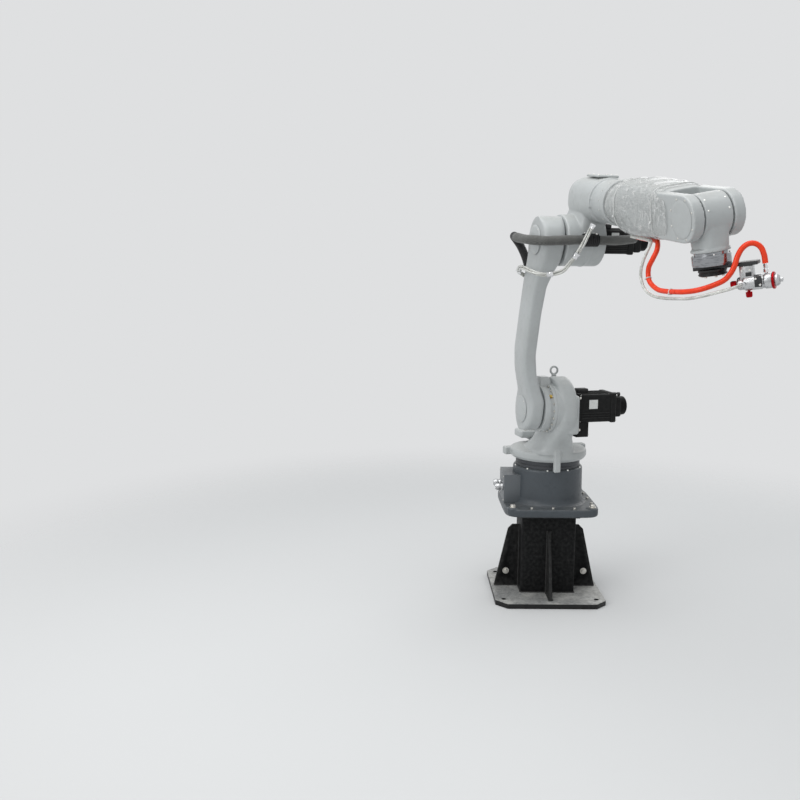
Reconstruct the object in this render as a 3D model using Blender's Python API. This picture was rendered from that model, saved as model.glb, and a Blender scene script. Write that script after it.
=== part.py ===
"""Six-axis industrial robot arm on a welded pedestal, with an automatic spray gun on its flange.

World frame: origin on the floor under the first axis, +X along the base, +Z up. Everything above
the base ring is modelled in the arm's own frames: x forward along the arm, y to the motor side.
"""
import math

import bmesh
import bpy
import numpy as np
from mathutils import Matrix, Vector

# Gaps and cutting
SEAT_GAP = 0.0003
OVERRUN = 0.01
TURN_GAP = 0.002

# Pose of the arm at rest, in degrees
ARM_TURN_DEG = -76.0
LINK_LEAN_DEG = 15.5
FOREARM_DROP_DEG = 7.6
WRIST_ROLL_DEG = 10.0
WRIST_BEND_DEG = 82.4

# Axes
SHOULDER_FORWARD = 0.15
LINK_LENGTH = 0.748
FOREARM_RISE = 0.168
FOREARM_LENGTH = 0.8325

# Floor plate and pedestal
PLATE_WIDTH = 0.498
PLATE_DEPTH = 0.5
PLATE_THICKNESS = 0.022
PLATE_CORNER_CUT = 0.05
PLATE_HOLE_RADIUS = 0.011
PLATE_HOLE_INSET = 0.04
COLUMN_WIDTH = 0.246
COLUMN_DEPTH = 0.2
COLUMN_HEIGHT = 0.3615
CAP_WIDTH = 0.27
CAP_THICKNESS = 0.0224
RIB_THICKNESS = 0.012
RIB_FOOT = 0.115
RIB_HEAD = 0.015
RIB_HEIGHT = 0.295
GUSSET_THICKNESS = 0.014
GUSSET_FOOT = 0.113
GUSSET_HEAD = 0.042
GUSSET_HEIGHT = 0.2957
GUSSET_CORNER_CUT = 0.02
GUSSET_HOLE_RADIUS = 0.0085
GUSSET_HOLE_OUT = 0.0597
GUSSET_HOLE_HEIGHT = 0.095

# Base casting
FLANGE_HALF = 0.212
FLANGE_HEIGHT = 0.036
DRUM_RADIUS = 0.158
DRUM_HEIGHT = 0.2015
RING_STEP = 0.012
RING_HEIGHT = 0.037
CONNECTOR_BOX = (0.075, 0.17, 0.13)
CONNECTOR_RADIUS = 0.016
CONNECTOR_LENGTH = 0.035

# Turret
TURRET_RADIUS = 0.174
TURRET_PLATE_THICKNESS = 0.052
TURRET_CHAMFER = 0.007
SHOULDER_RISE = 0.198
EAR_RADIUS = 0.112
EAR_HALF_THICKNESS = 0.0525
EAR_OFFSET = -0.0125
EAR_RISE = 0.138
CARRY_BAR_BACK = 0.04
CARRY_BAR_HALF_WIDTH = 0.02
CARRY_BAR_REACH = 0.2
CARRY_BAR_RISE = 0.01
CARRY_BAR_HEIGHT = 0.035
LUG_WIDTH = 0.03
LUG_SIDE = -0.03
LUG_SINK = 0.011
LUG_REACH = 0.01
LUG_DROP = 0.039
LUG_RISE = 0.06
MOTOR_FLANGE_WIDTH = 0.19
MOTOR_FLANGE_DROP = 0.11
MOTOR_FLANGE_RISE = 0.062
MOTOR_FLANGE_OUTER = 0.041
REDUCER_RADIUS = 0.108
REDUCER_SEAT = 0.07
REDUCER_CLEARANCE = 0.001
EYE_RING_RADIUS = 0.0165
EYE_WIRE_RADIUS = 0.0045
EYE_STEM = 0.006
EYE_FORWARD = 0.11
EYE_SIDE = -0.03
EYE_BOSS_RADIUS = 0.012
SHOULDER_MOTOR_WIDTH = 0.135
SHOULDER_MOTOR_LENGTH = 0.185
SHOULDER_MOTOR_CAP_WIDTH = 0.09
SHOULDER_MOTOR_CAP_LENGTH = 0.065
MOTOR_ADAPTER_WIDTH = 0.11
MOTOR_ADAPTER_LENGTH = 0.06
MOTOR_ADAPTER_DROP = 0.128
TURN_MOTOR_WIDTH = 0.1
TURN_MOTOR_HEIGHT = 0.0694
TURN_MOTOR_BASE_HEIGHT = 0.02
TURN_MOTOR_BACK = 0.112
TURN_COVER_WIDTH = 0.34
TURN_COVER_SIDE = 0.065
TURN_COVER_THICKNESS = 0.035

# Upper arm
LOWER_HUB_RADIUS = 0.096
UPPER_HUB_RADIUS = 0.096
LINK_HALF_DEPTH = 0.062
LINK_HALF_THICKNESS = 0.034
LOWER_HUB_SIDE = -0.16
LOWER_HUB_HALF = 0.036
UPPER_HUB_HALF = 0.05
LINK_BOW_SIDE = -0.215
UPPER_HUB_SIDE = -0.186
HUB_COVER_RADIUS = 0.06
HUB_COVER_THICKNESS = 0.012

# Elbow
ELBOW_RADIUS = 0.104
ELBOW_OUTER = 0.03
ELBOW_HOUSING_BACK = 0.075
ELBOW_HOUSING_FRONT = 0.15
ELBOW_NOSE_RADIUS = 0.087
ELBOW_NOSE_END = 0.266
ELBOW_HOUSING_HALF_WIDTH = 0.09
ELBOW_HOUSING_HALF_HEIGHT = 0.0875
ELBOW_COVER_THICKNESS = 0.01
ELBOW_COVER_START = 0.018
ELBOW_COVER_FRONT = 0.122
ELBOW_COVER_HALF_WIDTH = 0.046
ELBOW_MOTOR_WIDTH = 0.105
ELBOW_MOTOR_LENGTH = 0.15
ELBOW_MOTOR_CAP_WIDTH = 0.085
ELBOW_MOTOR_CAP_LENGTH = 0.07
ROLL_MOTOR_WIDTH = 0.08
ROLL_MOTOR_LENGTH = 0.045

# Forearm
ROLL_RING_RADIUS = 0.078
ROLL_RING_THICKNESS = 0.012
FOREARM_NECK_RADIUS = 0.083
FOREARM_NECK_END = 0.372
FOREARM_BULGE_HALF = 0.096
FOREARM_TIP_HALF = 0.088
FORK_ROOT = 0.13
TINE_RADIUS = 0.076
TINE_THICKNESS = 0.038
TINE_CAP_THICKNESS = 0.008
FORK_INNER = 0.053

# Wrist and tool
WRIST_GAP = 0.005
WRIST_RADIUS = 0.074
WRIST_BLOCK_REACH = 0.115
WRIST_FLANGE_RADIUS = 0.062
ADAPTER_RADIUS = 0.062
ADAPTER_LENGTH = 0.043
DISC_RADIUS = 0.045
DISC_THICKNESS = 0.02
BRACKET_REACH = 0.143
BRACKET_WIDTH = 0.05
BRACKET_THICKNESS = 0.012
BRACKET_TURN_DEG = 45.0
GUN_LENGTH = 0.104
GUN_TAIL = 0.074
GUN_RADIUS = 0.0245
GUN_DROP = 0.056
AIR_CAP_RADIUS = 0.019
AIR_CAP_LENGTH = 0.022
GUN_RING_RADIUS = 0.0275
GUN_RING_LENGTH = 0.008
KNOB_RADIUS = 0.01
KNOB_LENGTH = 0.022
FITTING_RADIUS = 0.008
FITTING_LENGTH = 0.03

# Shape of the upper arm: place along it, depth, bow and thickness, each as a share
LINK_SHAPE_SHARES = [(0.085, 1.5, 0.0, 1.05), (0.15, 1.28, 0.35, 1.0), (0.24, 1.12, 0.75, 0.95),
                     (0.36, 1.03, 1.0, 0.93), (0.6, 1.0, 1.0, 0.93), (0.76, 1.02, 0.85, 1.0),
                     (0.85, 1.2, 0.4, 1.2), (0.915, 1.42, 0.0, 1.4)]

# Shape of the ear below the axis: height, place forward, place to the side, depth and thickness, as shares
# but for the place to the side
EAR_SHAPE_SHARES = [(0.0, 0.4, -0.025, 1.04, 1.905), (0.1, 0.45, -0.018, 1.03, 1.638),
                    (0.2, 0.55, -0.016, 1.02, 1.41), (0.34, 0.7, -0.021, 1.02, 1.162),
                    (0.55, 0.88, -0.017, 1.01, 1.086), (0.8, 1.0, -0.01325, 1.0, 1.014)]
EAR_TOP_SHARE = 0.62

# Hoses
SLEEVE_RADIUS = 0.019
AIR_HOSE_RADIUS = 0.01
PAINT_HOSE_RADIUS = 0.0088
GUN_AIR_HOSE_RADIUS = 0.0055
SLEEVE_CLAMP_RADIUS = 0.026
SLEEVE_CLAMP_LENGTH = 0.06
SLEEVE_CLAMP_STANDOFF = 0.032
SLEEVE_CLAMP_SIDE = -0.06
SLEEVE_CLAMP_RISE = 0.016

# Heights and depths that follow from the sizes above
COLUMN_TOP = PLATE_THICKNESS + COLUMN_HEIGHT
BASE_SEAT = COLUMN_TOP + CAP_THICKNESS + 2.0 * SEAT_GAP
DRUM_TOP = BASE_SEAT + DRUM_HEIGHT
RING_RADIUS = DRUM_RADIUS - RING_STEP
RING_TOP = DRUM_TOP + RING_HEIGHT
TURRET_PLATE_TOP = RING_TOP + TURRET_PLATE_THICKNESS
SHOULDER_HEIGHT = TURRET_PLATE_TOP + SHOULDER_RISE
BRACKET_SEAT = WRIST_BLOCK_REACH + ADAPTER_LENGTH + 2.0 * SEAT_GAP
GUN_AXIS_DEPTH = BRACKET_SEAT + BRACKET_THICKNESS + SEAT_GAP + GUN_DROP

# Smoothness
ROUND_SIDES = 32
FINE_SIDES = 16
SECTION_SIDES = 28
HOSE_POINTS = 26

# Routes of the hoses: stretches of points, each stretch in the frame that it keeps to
SLEEVE_REAR_ROUTE = [
    ("link_end", [(-0.0905, -0.212, -0.1363), (-0.114, -0.222, -0.098), (-0.132, -0.244, -0.0548),
                  (-0.121, -0.278, -0.0164), (-0.056, -0.295, -0.0028), (0.0156, -0.292, 0.0071)]),
    ("clamp", [(-0.0593, -0.215, -0.0092), (-0.0193, -0.175, -0.0068), (-0.0037, -0.13, -0.0027),
               (0.0, -0.07, -0.0002), (0.0, -0.0305, -0.0002)]),
]
SLEEVE_FRONT_ROUTE = [
    ("clamp", [(0.0, 0.0305, -0.0002), (0.0, 0.07, -0.0002), (-0.0041, 0.11, 0.0002),
               (-0.0144, 0.16, 0.0019), (-0.0311, 0.205, 0.0057)]),
]
ELBOW_AIR_ROUTE = [
    ("link_end", [(-0.075, -0.2112, -0.19), (-0.0757, -0.222, -0.174), (-0.058, -0.264, -0.146),
                  (0.0131, -0.29, -0.1087), (0.0626, -0.289, -0.1002), (0.114, -0.277, -0.1014)]),
    ("clamp", [(-0.0068, -0.188, -0.137), (0.0159, -0.154, -0.131), (0.0258, -0.115, -0.1179),
               (0.0291, -0.085, -0.0821), (0.0334, -0.065, -0.0462), (0.0414, -0.046, -0.0078),
               (0.0463, -0.03, 0.0312), (0.0473, -0.017, 0.0616)]),
]
PAINT_LOOP_ROUTE = [
    ("fork", [(-0.4025, -0.035, -0.1054), (-0.3325, -0.035, -0.105), (-0.2725, -0.038, -0.1025),
              (-0.2305, -0.05, -0.1035), (-0.1975, -0.0725, -0.1234),
              (-0.2006, -0.0875, -0.1508), (-0.2181, -0.0957, -0.1856),
              (-0.2026, -0.1027, -0.2253), (-0.1475, -0.1042, -0.2452),
              (-0.0872, -0.1018, -0.2436), (-0.0347, -0.0977, -0.2372)]),
]
PAINT_TAIL_ROUTE = [
    ("fork", [(-0.0339, -0.0977, -0.2371), (0.0019, -0.0927, -0.2321), (0.0458, -0.078, -0.2236),
              (0.074, -0.0477, -0.2129)]),
    ("gun", [(-0.018, -0.0425, 0.0385), (-0.036, -0.042, 0.061), (-0.0595, -0.0385, 0.0765),
             (-0.087, -0.0315, 0.0865), (-0.11, -0.022, 0.1), (-0.1225, -0.012, 0.119),
             (-0.1195, -0.004, 0.1385), (-0.1045, 0.0, 0.153), (-0.08, 0.0, 0.16), (-0.0553, 0.0, 0.1614)]),
]
AIR_LOOP_ROUTE = [
    ("fork", [(-0.4025, -0.06, -0.0985), (-0.3325, -0.06, -0.098), (-0.2775, -0.063, -0.0975),
              (-0.2375, -0.072, -0.102), (-0.2194, -0.114, -0.1569), (-0.2247, -0.1229, -0.2073),
              (-0.1919, -0.127, -0.2482), (-0.1347, -0.1274, -0.2619),
              (-0.0744, -0.1221, -0.2608), (-0.0318, -0.1162, -0.2561)]),
]
AIR_TAIL_ROUTE = [
    ("fork", [(-0.031, -0.1162, -0.256), (0.0048, -0.1103, -0.2512), (0.0442, -0.0972, -0.2461),
              (0.0826, -0.0721, -0.2361)]),
    ("gun", [(0.0105, -0.0865, 0.0322), (0.0055, -0.0882, 0.062), (0.001, -0.0805, 0.086),
             (0.0, -0.0665, 0.0945), (0.0, -0.0553, 0.0948)]),
]

COLOURS = {
    "casting_grey": ((0.52, 0.54, 0.55), 0.42, 0.0),
    "base_grey": ((0.075, 0.09, 0.1), 0.45, 0.0),
    "pedestal_black": ((0.012, 0.012, 0.013), 0.5, 0.0),
    "plate_bare": ((0.13, 0.125, 0.12), 0.6, 0.3),
    "motor_black": ((0.01, 0.01, 0.011), 0.35, 0.0),
    "steel": ((0.55, 0.55, 0.55), 0.3, 1.0),
    "aluminium": ((0.75, 0.76, 0.77), 0.22, 1.0),
    "tool_black": ((0.015, 0.015, 0.016), 0.4, 0.0),
    "gun_silver": ((0.5, 0.5, 0.5), 0.35, 1.0),
    "red_anodised": ((0.55, 0.03, 0.03), 0.3, 0.6),
    "orange_hose": ((0.75, 0.13, 0.05), 0.35, 0.0),
    "clear_hose": ((0.5, 0.5, 0.48), 0.15, 0.0),
    "sleeve": ((0.11, 0.105, 0.1), 0.75, 0.0),
    "rubber": ((0.01, 0.01, 0.01), 0.6, 0.0),
}


# Scene and materials

def clear_scene():
    """Remove every object of the open scene."""
    for thing in list(bpy.data.objects):
        bpy.data.objects.remove(thing, do_unlink=True)


def material(name):
    """The Principled material of one finish, made once."""
    found = bpy.data.materials.get(name)
    if found:
        return found
    colour, roughness, metallic = COLOURS[name]
    made = bpy.data.materials.new(name)
    made.use_nodes = True
    shader = made.node_tree.nodes["Principled BSDF"]
    shader.inputs["Base Color"].default_value = (*colour, 1.0)
    shader.inputs["Roughness"].default_value = roughness
    shader.inputs["Metallic"].default_value = metallic
    return made


def finish_mesh(name, shape, finish, parent, matrix=None):
    """Turn a bmesh into a named object under its parent."""
    bmesh.ops.recalc_face_normals(shape, faces=shape.faces)
    mesh = bpy.data.meshes.new(name)
    shape.to_mesh(mesh)
    shape.free()
    mesh.shade_smooth()
    mesh.set_sharp_from_angle(angle=math.radians(35.0))
    thing = bpy.data.objects.new(name, mesh)
    bpy.context.scene.collection.objects.link(thing)
    thing.data.materials.append(material(finish))
    thing.parent = parent
    if matrix is not None:
        thing.matrix_basis = matrix
    return thing


def empty(name, parent, matrix):
    """A frame that carries the pieces of one moving body."""
    thing = bpy.data.objects.new(name, None)
    bpy.context.scene.collection.objects.link(thing)
    thing.parent = parent
    thing.matrix_basis = matrix
    return thing


def guide(thing):
    """Keep an object as a shape for booleans only."""
    thing.hide_render = True
    thing.display_type = "WIRE"
    return thing


def combine(target, other, operation):
    """Join or cut with another object."""
    step = target.modifiers.new(operation.title(), "BOOLEAN")
    step.operation = operation
    step.object = guide(other)
    step.solver = "EXACT"
    return target


def bevel(thing, width, segments=1):
    """Round or chamfer the sharp edges."""
    step = thing.modifiers.new("Bevel", "BEVEL")
    step.width = width
    step.segments = segments
    step.limit_method = "ANGLE"
    step.angle_limit = math.radians(40.0)
    return thing


# Shapes

def axis_matrix(axis):
    """Turn local +Z onto the named axis."""
    if axis == "x":
        return Matrix.Rotation(math.radians(90.0), 4, "Y")
    if axis == "y":
        return Matrix.Rotation(math.radians(-90.0), 4, "X")
    return Matrix.Identity(4)


def turned_shape(profile, sides=ROUND_SIDES):
    """A solid of revolution about +Z from (radius, height) pairs, closed at both ends."""
    shape = bmesh.new()
    angles = np.linspace(0.0, 2.0 * math.pi, sides, endpoint=False)
    rings = []
    for radius, height in profile:
        rings.append([shape.verts.new((radius * math.cos(a), radius * math.sin(a), height)) for a in angles])
    for low, high in zip(rings, rings[1:]):
        for k in range(sides):
            n = (k + 1) % sides
            shape.faces.new((low[k], low[n], high[n], high[k]))
    shape.faces.new(list(reversed(rings[0])))
    shape.faces.new(rings[-1])
    return shape


def turned(name, profile, finish, parent, axis="z", centre=(0.0, 0.0, 0.0), sides=ROUND_SIDES):
    """A turned solid along one axis of its parent frame."""
    matrix = Matrix.Translation(Vector(centre)) @ axis_matrix(axis)
    return finish_mesh(name, turned_shape(profile, sides), finish, parent, matrix)


def cylinder(name, radius, low, high, finish, parent, axis="z", centre=(0.0, 0.0, 0.0), sides=ROUND_SIDES):
    """A plain cylinder between two heights along its axis."""
    return turned(name, [(radius, low), (radius, high)], finish, parent, axis, centre, sides)


def block(name, low, high, finish, parent):
    """A box between two corners."""
    shape = bmesh.new()
    bmesh.ops.create_cube(shape, size=1.0)
    size = Vector(high) - Vector(low)
    middle = (Vector(high) + Vector(low)) * 0.5
    bmesh.ops.scale(shape, vec=size, verts=shape.verts)
    bmesh.ops.translate(shape, vec=middle, verts=shape.verts)
    return finish_mesh(name, shape, finish, parent)


def prism(name, outline, low, high, finish, parent, axis="z"):
    """An outline in the plane across an axis, drawn out along that axis."""
    shape = bmesh.new()
    place = {
        "x": lambda u, v, h: (h, u, v),
        "y": lambda u, v, h: (u, h, v),
        "z": lambda u, v, h: (u, v, h),
    }[axis]
    bottom = [shape.verts.new(place(u, v, low)) for u, v in outline]
    top = [shape.verts.new(place(u, v, high)) for u, v in outline]
    count = len(outline)
    for k in range(count):
        n = (k + 1) % count
        shape.faces.new((bottom[k], bottom[n], top[n], top[k]))
    shape.faces.new(list(reversed(bottom)))
    shape.faces.new(top)
    return finish_mesh(name, shape, finish, parent)


def superellipse(half_u, half_v, power, sides=SECTION_SIDES):
    """Points of |u/a|^p + |v/b|^p = 1, evenly spaced in angle."""
    angles = np.linspace(0.0, 2.0 * math.pi, sides, endpoint=False)
    c = np.cos(angles)
    s = np.sin(angles)
    u = half_u * np.sign(c) * np.abs(c) ** (2.0 / power)
    v = half_v * np.sign(s) * np.abs(s) ** (2.0 / power)
    return np.stack([u, v], axis=1)


def lofted(name, sections, finish, parent, axis="z"):
    """A skin over sections (station, centre_u, centre_v, half_u, half_v, power) along one axis."""
    shape = bmesh.new()
    rings = []
    for station, centre_u, centre_v, half_u, half_v, power in sections:
        ring = []
        for u, v in superellipse(half_u, half_v, power):
            place = {
                "x": (station, centre_u + u, centre_v + v),
                "y": (centre_u + u, station, centre_v + v),
                "z": (centre_u + u, centre_v + v, station),
            }[axis]
            ring.append(shape.verts.new(place))
        rings.append(ring)
    count = len(rings[0])
    for low, high in zip(rings, rings[1:]):
        for k in range(count):
            n = (k + 1) % count
            shape.faces.new((low[k], low[n], high[n], high[k]))
    shape.faces.new(list(reversed(rings[0])))
    shape.faces.new(rings[-1])
    return finish_mesh(name, shape, finish, parent)


def smooth_route(points, count):
    """Points of a Catmull-Rom curve through a route, evenly spaced along it."""
    knots = np.array(points, dtype=float)
    padded = np.vstack([2.0 * knots[0] - knots[1], knots, 2.0 * knots[-1] - knots[-2]])
    fine = []
    for k in range(len(knots) - 1):
        a, b, c, d = padded[k:k + 4]
        for t in np.linspace(0.0, 1.0, 24, endpoint=False):
            fine.append(0.5 * (2.0 * b + (c - a) * t + (2.0 * a - 5.0 * b + 4.0 * c - d) * t * t
                               + (3.0 * b - a - 3.0 * c + d) * t ** 3))
    fine.append(knots[-1])
    fine = np.array(fine)
    run = np.concatenate([[0.0], np.cumsum(np.linalg.norm(np.diff(fine, axis=0), axis=1))])
    wanted = np.linspace(0.0, run[-1], count)
    return np.stack([np.interp(wanted, run, fine[:, k]) for k in range(3)], axis=1)


def hose(name, route, radius, finish, parent, count=HOSE_POINTS, matrix=None):
    """A round hose along a smooth route."""
    curve = bpy.data.curves.new(name, "CURVE")
    curve.dimensions = "3D"
    curve.bevel_depth = radius
    curve.bevel_resolution = 2
    curve.use_fill_caps = True
    points = smooth_route(route, count)
    spline = curve.splines.new("POLY")
    spline.points.add(len(points) - 1)
    for point, place in zip(spline.points, points):
        point.co = (*place, 1.0)
    thing = bpy.data.objects.new(name, curve)
    bpy.context.scene.collection.objects.link(thing)
    curve.materials.append(material(finish))
    thing.parent = parent
    if matrix is not None:
        thing.matrix_basis = matrix
    return thing


# Frames of the moving bodies

def turn(degrees, axis):
    """A rotation matrix about one axis."""
    return Matrix.Rotation(math.radians(degrees), 4, axis)


def arm_frames():
    """Where each body's own frame lies in the arm's frame, at rest."""
    link = Matrix.Translation((SHOULDER_FORWARD, 0.0, SHOULDER_HEIGHT)) @ turn(LINK_LEAN_DEG, "Y")
    elbow = link @ Matrix.Translation((0.0, 0.0, LINK_LENGTH)) @ turn(FOREARM_DROP_DEG - LINK_LEAN_DEG, "Y")
    forearm = elbow @ Matrix.Translation((0.0, 0.0, FOREARM_RISE)) @ turn(WRIST_ROLL_DEG, "X")
    wrist = forearm @ Matrix.Translation((FOREARM_LENGTH, 0.0, 0.0)) @ turn(WRIST_BEND_DEG, "Y")
    return {"link": link, "elbow": elbow, "forearm": forearm, "wrist": wrist, "tool": wrist}


def route_frames():
    """The frames that the hose routes keep to, in the arm's frame at rest."""
    frames = arm_frames()
    clamp_place = (ELBOW_RADIUS + SLEEVE_CLAMP_STANDOFF, SLEEVE_CLAMP_SIDE, SLEEVE_CLAMP_RISE)
    frames["link_end"] = frames["link"] @ Matrix.Translation((0.0, 0.0, LINK_LENGTH))
    frames["clamp"] = frames["elbow"] @ Matrix.Translation(clamp_place)
    frames["fork"] = frames["forearm"] @ Matrix.Translation((FOREARM_LENGTH, 0.0, 0.0))
    frames["gun"] = frames["tool"] @ turn(-BRACKET_TURN_DEG, "X") @ Matrix.Translation((GUN_AXIS_DEPTH, 0.0, 0.0))
    return frames


# Pedestal

def chamfered_rectangle(width, depth, cut):
    """The eight corners of a rectangle with its corners cut off."""
    x = width / 2.0
    y = depth / 2.0
    return [(x, cut - y), (x, y - cut), (x - cut, y), (cut - x, y),
            (-x, y - cut), (-x, cut - y), (cut - x, -y), (x - cut, -y)]


def floor_plate(parent):
    """The steel plate on the floor, with a bolt hole near each corner."""
    outline = chamfered_rectangle(PLATE_WIDTH, PLATE_DEPTH, PLATE_CORNER_CUT)
    plate = prism("floor_plate", outline, 0.0, PLATE_THICKNESS, "plate_bare", parent)
    x = PLATE_WIDTH / 2.0 - PLATE_HOLE_INSET
    y = PLATE_DEPTH / 2.0 - PLATE_HOLE_INSET - PLATE_CORNER_CUT / 2.0
    for k, (side_x, side_y) in enumerate([(1, 1), (-1, 1), (-1, -1), (1, -1)]):
        cutter = cylinder(f"plate_hole_{k}", PLATE_HOLE_RADIUS, -OVERRUN, PLATE_THICKNESS + OVERRUN,
                          "plate_bare", parent, centre=(side_x * x, side_y * y, 0.0), sides=FINE_SIDES)
        combine(plate, cutter, "DIFFERENCE")


def pedestal(parent):
    """Box column with side gussets, front and back ribs, and a top plate."""
    x = COLUMN_WIDTH / 2.0
    y = COLUMN_DEPTH / 2.0
    foot = PLATE_THICKNESS + SEAT_GAP
    column = block("pedestal_column", (-x, -y, foot), (x, y, COLUMN_TOP), "pedestal_black", parent)
    bevel(column, RIB_THICKNESS / 2.0)
    for name, side in (("gusset_left", -1.0), ("gusset_right", 1.0)):
        inner = x + SEAT_GAP
        outline = [(inner, foot), (inner + GUSSET_FOOT, foot),
                   (inner + GUSSET_HEAD + GUSSET_CORNER_CUT / 2.0, foot + GUSSET_HEIGHT - GUSSET_CORNER_CUT),
                   (inner + GUSSET_HEAD - GUSSET_CORNER_CUT / 2.0, foot + GUSSET_HEIGHT),
                   (inner, foot + GUSSET_HEIGHT)]
        outline = [(side * u, v) for u, v in outline]
        half = GUSSET_THICKNESS / 2.0
        plate = prism(name, outline, -half, half, "pedestal_black", parent, axis="y")
        cutter = cylinder(f"{name}_hole", GUSSET_HOLE_RADIUS, -OVERRUN, OVERRUN, "pedestal_black", parent, "y",
                          (side * (x + GUSSET_HOLE_OUT), 0.0, GUSSET_HOLE_HEIGHT), FINE_SIDES)
        combine(plate, cutter, "DIFFERENCE")
    for name, side in (("rib_front", -1.0), ("rib_back", 1.0)):
        inner = y + SEAT_GAP
        outline = [(inner, foot), (inner + RIB_FOOT, foot), (inner + RIB_HEAD, foot + RIB_HEIGHT),
                   (inner, foot + RIB_HEIGHT)]
        outline = [(side * u, v) for u, v in outline]
        half = RIB_THICKNESS / 2.0
        prism(name, outline, -half, half, "pedestal_black", parent, axis="x")
    half = CAP_WIDTH / 2.0
    low = COLUMN_TOP + SEAT_GAP
    block("pedestal_top", (-half, -half, low), (half, half, low + CAP_THICKNESS), "pedestal_black", parent)


# Base of the robot

def base(parent):
    """The fixed base casting with its connector box, and the ring under the turret."""
    seat = BASE_SEAT
    sections = [(seat, 0.0, 0.0, FLANGE_HALF, FLANGE_HALF, 7.0),
                (seat + FLANGE_HEIGHT, 0.0, 0.0, FLANGE_HALF, FLANGE_HALF, 7.0)]
    casting = lofted("base_casting", sections, "base_grey", parent)
    step = DRUM_RADIUS - RING_RADIUS
    profile = [(DRUM_RADIUS, seat + FLANGE_HEIGHT / 2.0), (DRUM_RADIUS, DRUM_TOP - step / 2.0),
               (DRUM_RADIUS - step / 2.0, DRUM_TOP)]
    drum = turned("base_drum_form", profile, "base_grey", parent, sides=ROUND_SIDES + FINE_SIDES)
    combine(casting, drum, "UNION")
    ring_profile = [(RING_RADIUS, DRUM_TOP + SEAT_GAP), (RING_RADIUS, RING_TOP)]
    turned("base_ring", ring_profile, "base_grey", parent, sides=ROUND_SIDES + FINE_SIDES)
    depth, width, height = CONNECTOR_BOX
    low = seat + FLANGE_HEIGHT + SEAT_GAP
    inner = -math.sqrt(DRUM_RADIUS ** 2 - (width / 2.0) ** 2) - SEAT_GAP
    box = block("connector_box", (inner - depth, -width / 2.0, low), (inner, width / 2.0, low + height),
                "base_grey", parent)
    hollow = turned("connector_box_cut", [(DRUM_RADIUS + SEAT_GAP, 0.0), (DRUM_RADIUS + SEAT_GAP, RING_TOP)],
                    "base_grey", parent, sides=ROUND_SIDES + FINE_SIDES)
    combine(box, hollow, "DIFFERENCE")
    face = inner - depth - SEAT_GAP
    for name, side in (("power_connector", -1.0), ("signal_connector", 1.0)):
        cylinder(name, CONNECTOR_RADIUS, face - CONNECTOR_LENGTH, face, "steel", parent, "x",
                 (0.0, side * width / 4.0, low + height / 2.0), FINE_SIDES)


# Turret

def ear_sections():
    """Level sections of the bell-shaped ear, from the plate up over the shoulder axis."""
    foot = TURRET_PLATE_TOP - TURN_GAP
    rise = SHOULDER_HEIGHT - foot
    sections = []
    for up, forward_share, side, depth_share, thick_share in EAR_SHAPE_SHARES:
        sections.append((foot + up * rise, forward_share * SHOULDER_FORWARD, side, depth_share * EAR_RADIUS,
                         thick_share * EAR_HALF_THICKNESS, 3.0))
    inner = EAR_OFFSET - EAR_HALF_THICKNESS
    for degrees in (90.0, 72.0, 54.0, 38.0, 24.0, 12.0):
        angle = math.radians(degrees)
        half = EAR_HALF_THICKNESS * (EAR_TOP_SHARE + (1.0 - EAR_TOP_SHARE) * math.sin(angle))
        sections.append((SHOULDER_HEIGHT + EAR_RISE * math.cos(angle), SHOULDER_FORWARD, inner + half,
                         EAR_RADIUS * math.sin(angle), half, 3.4))
    return sections


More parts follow.
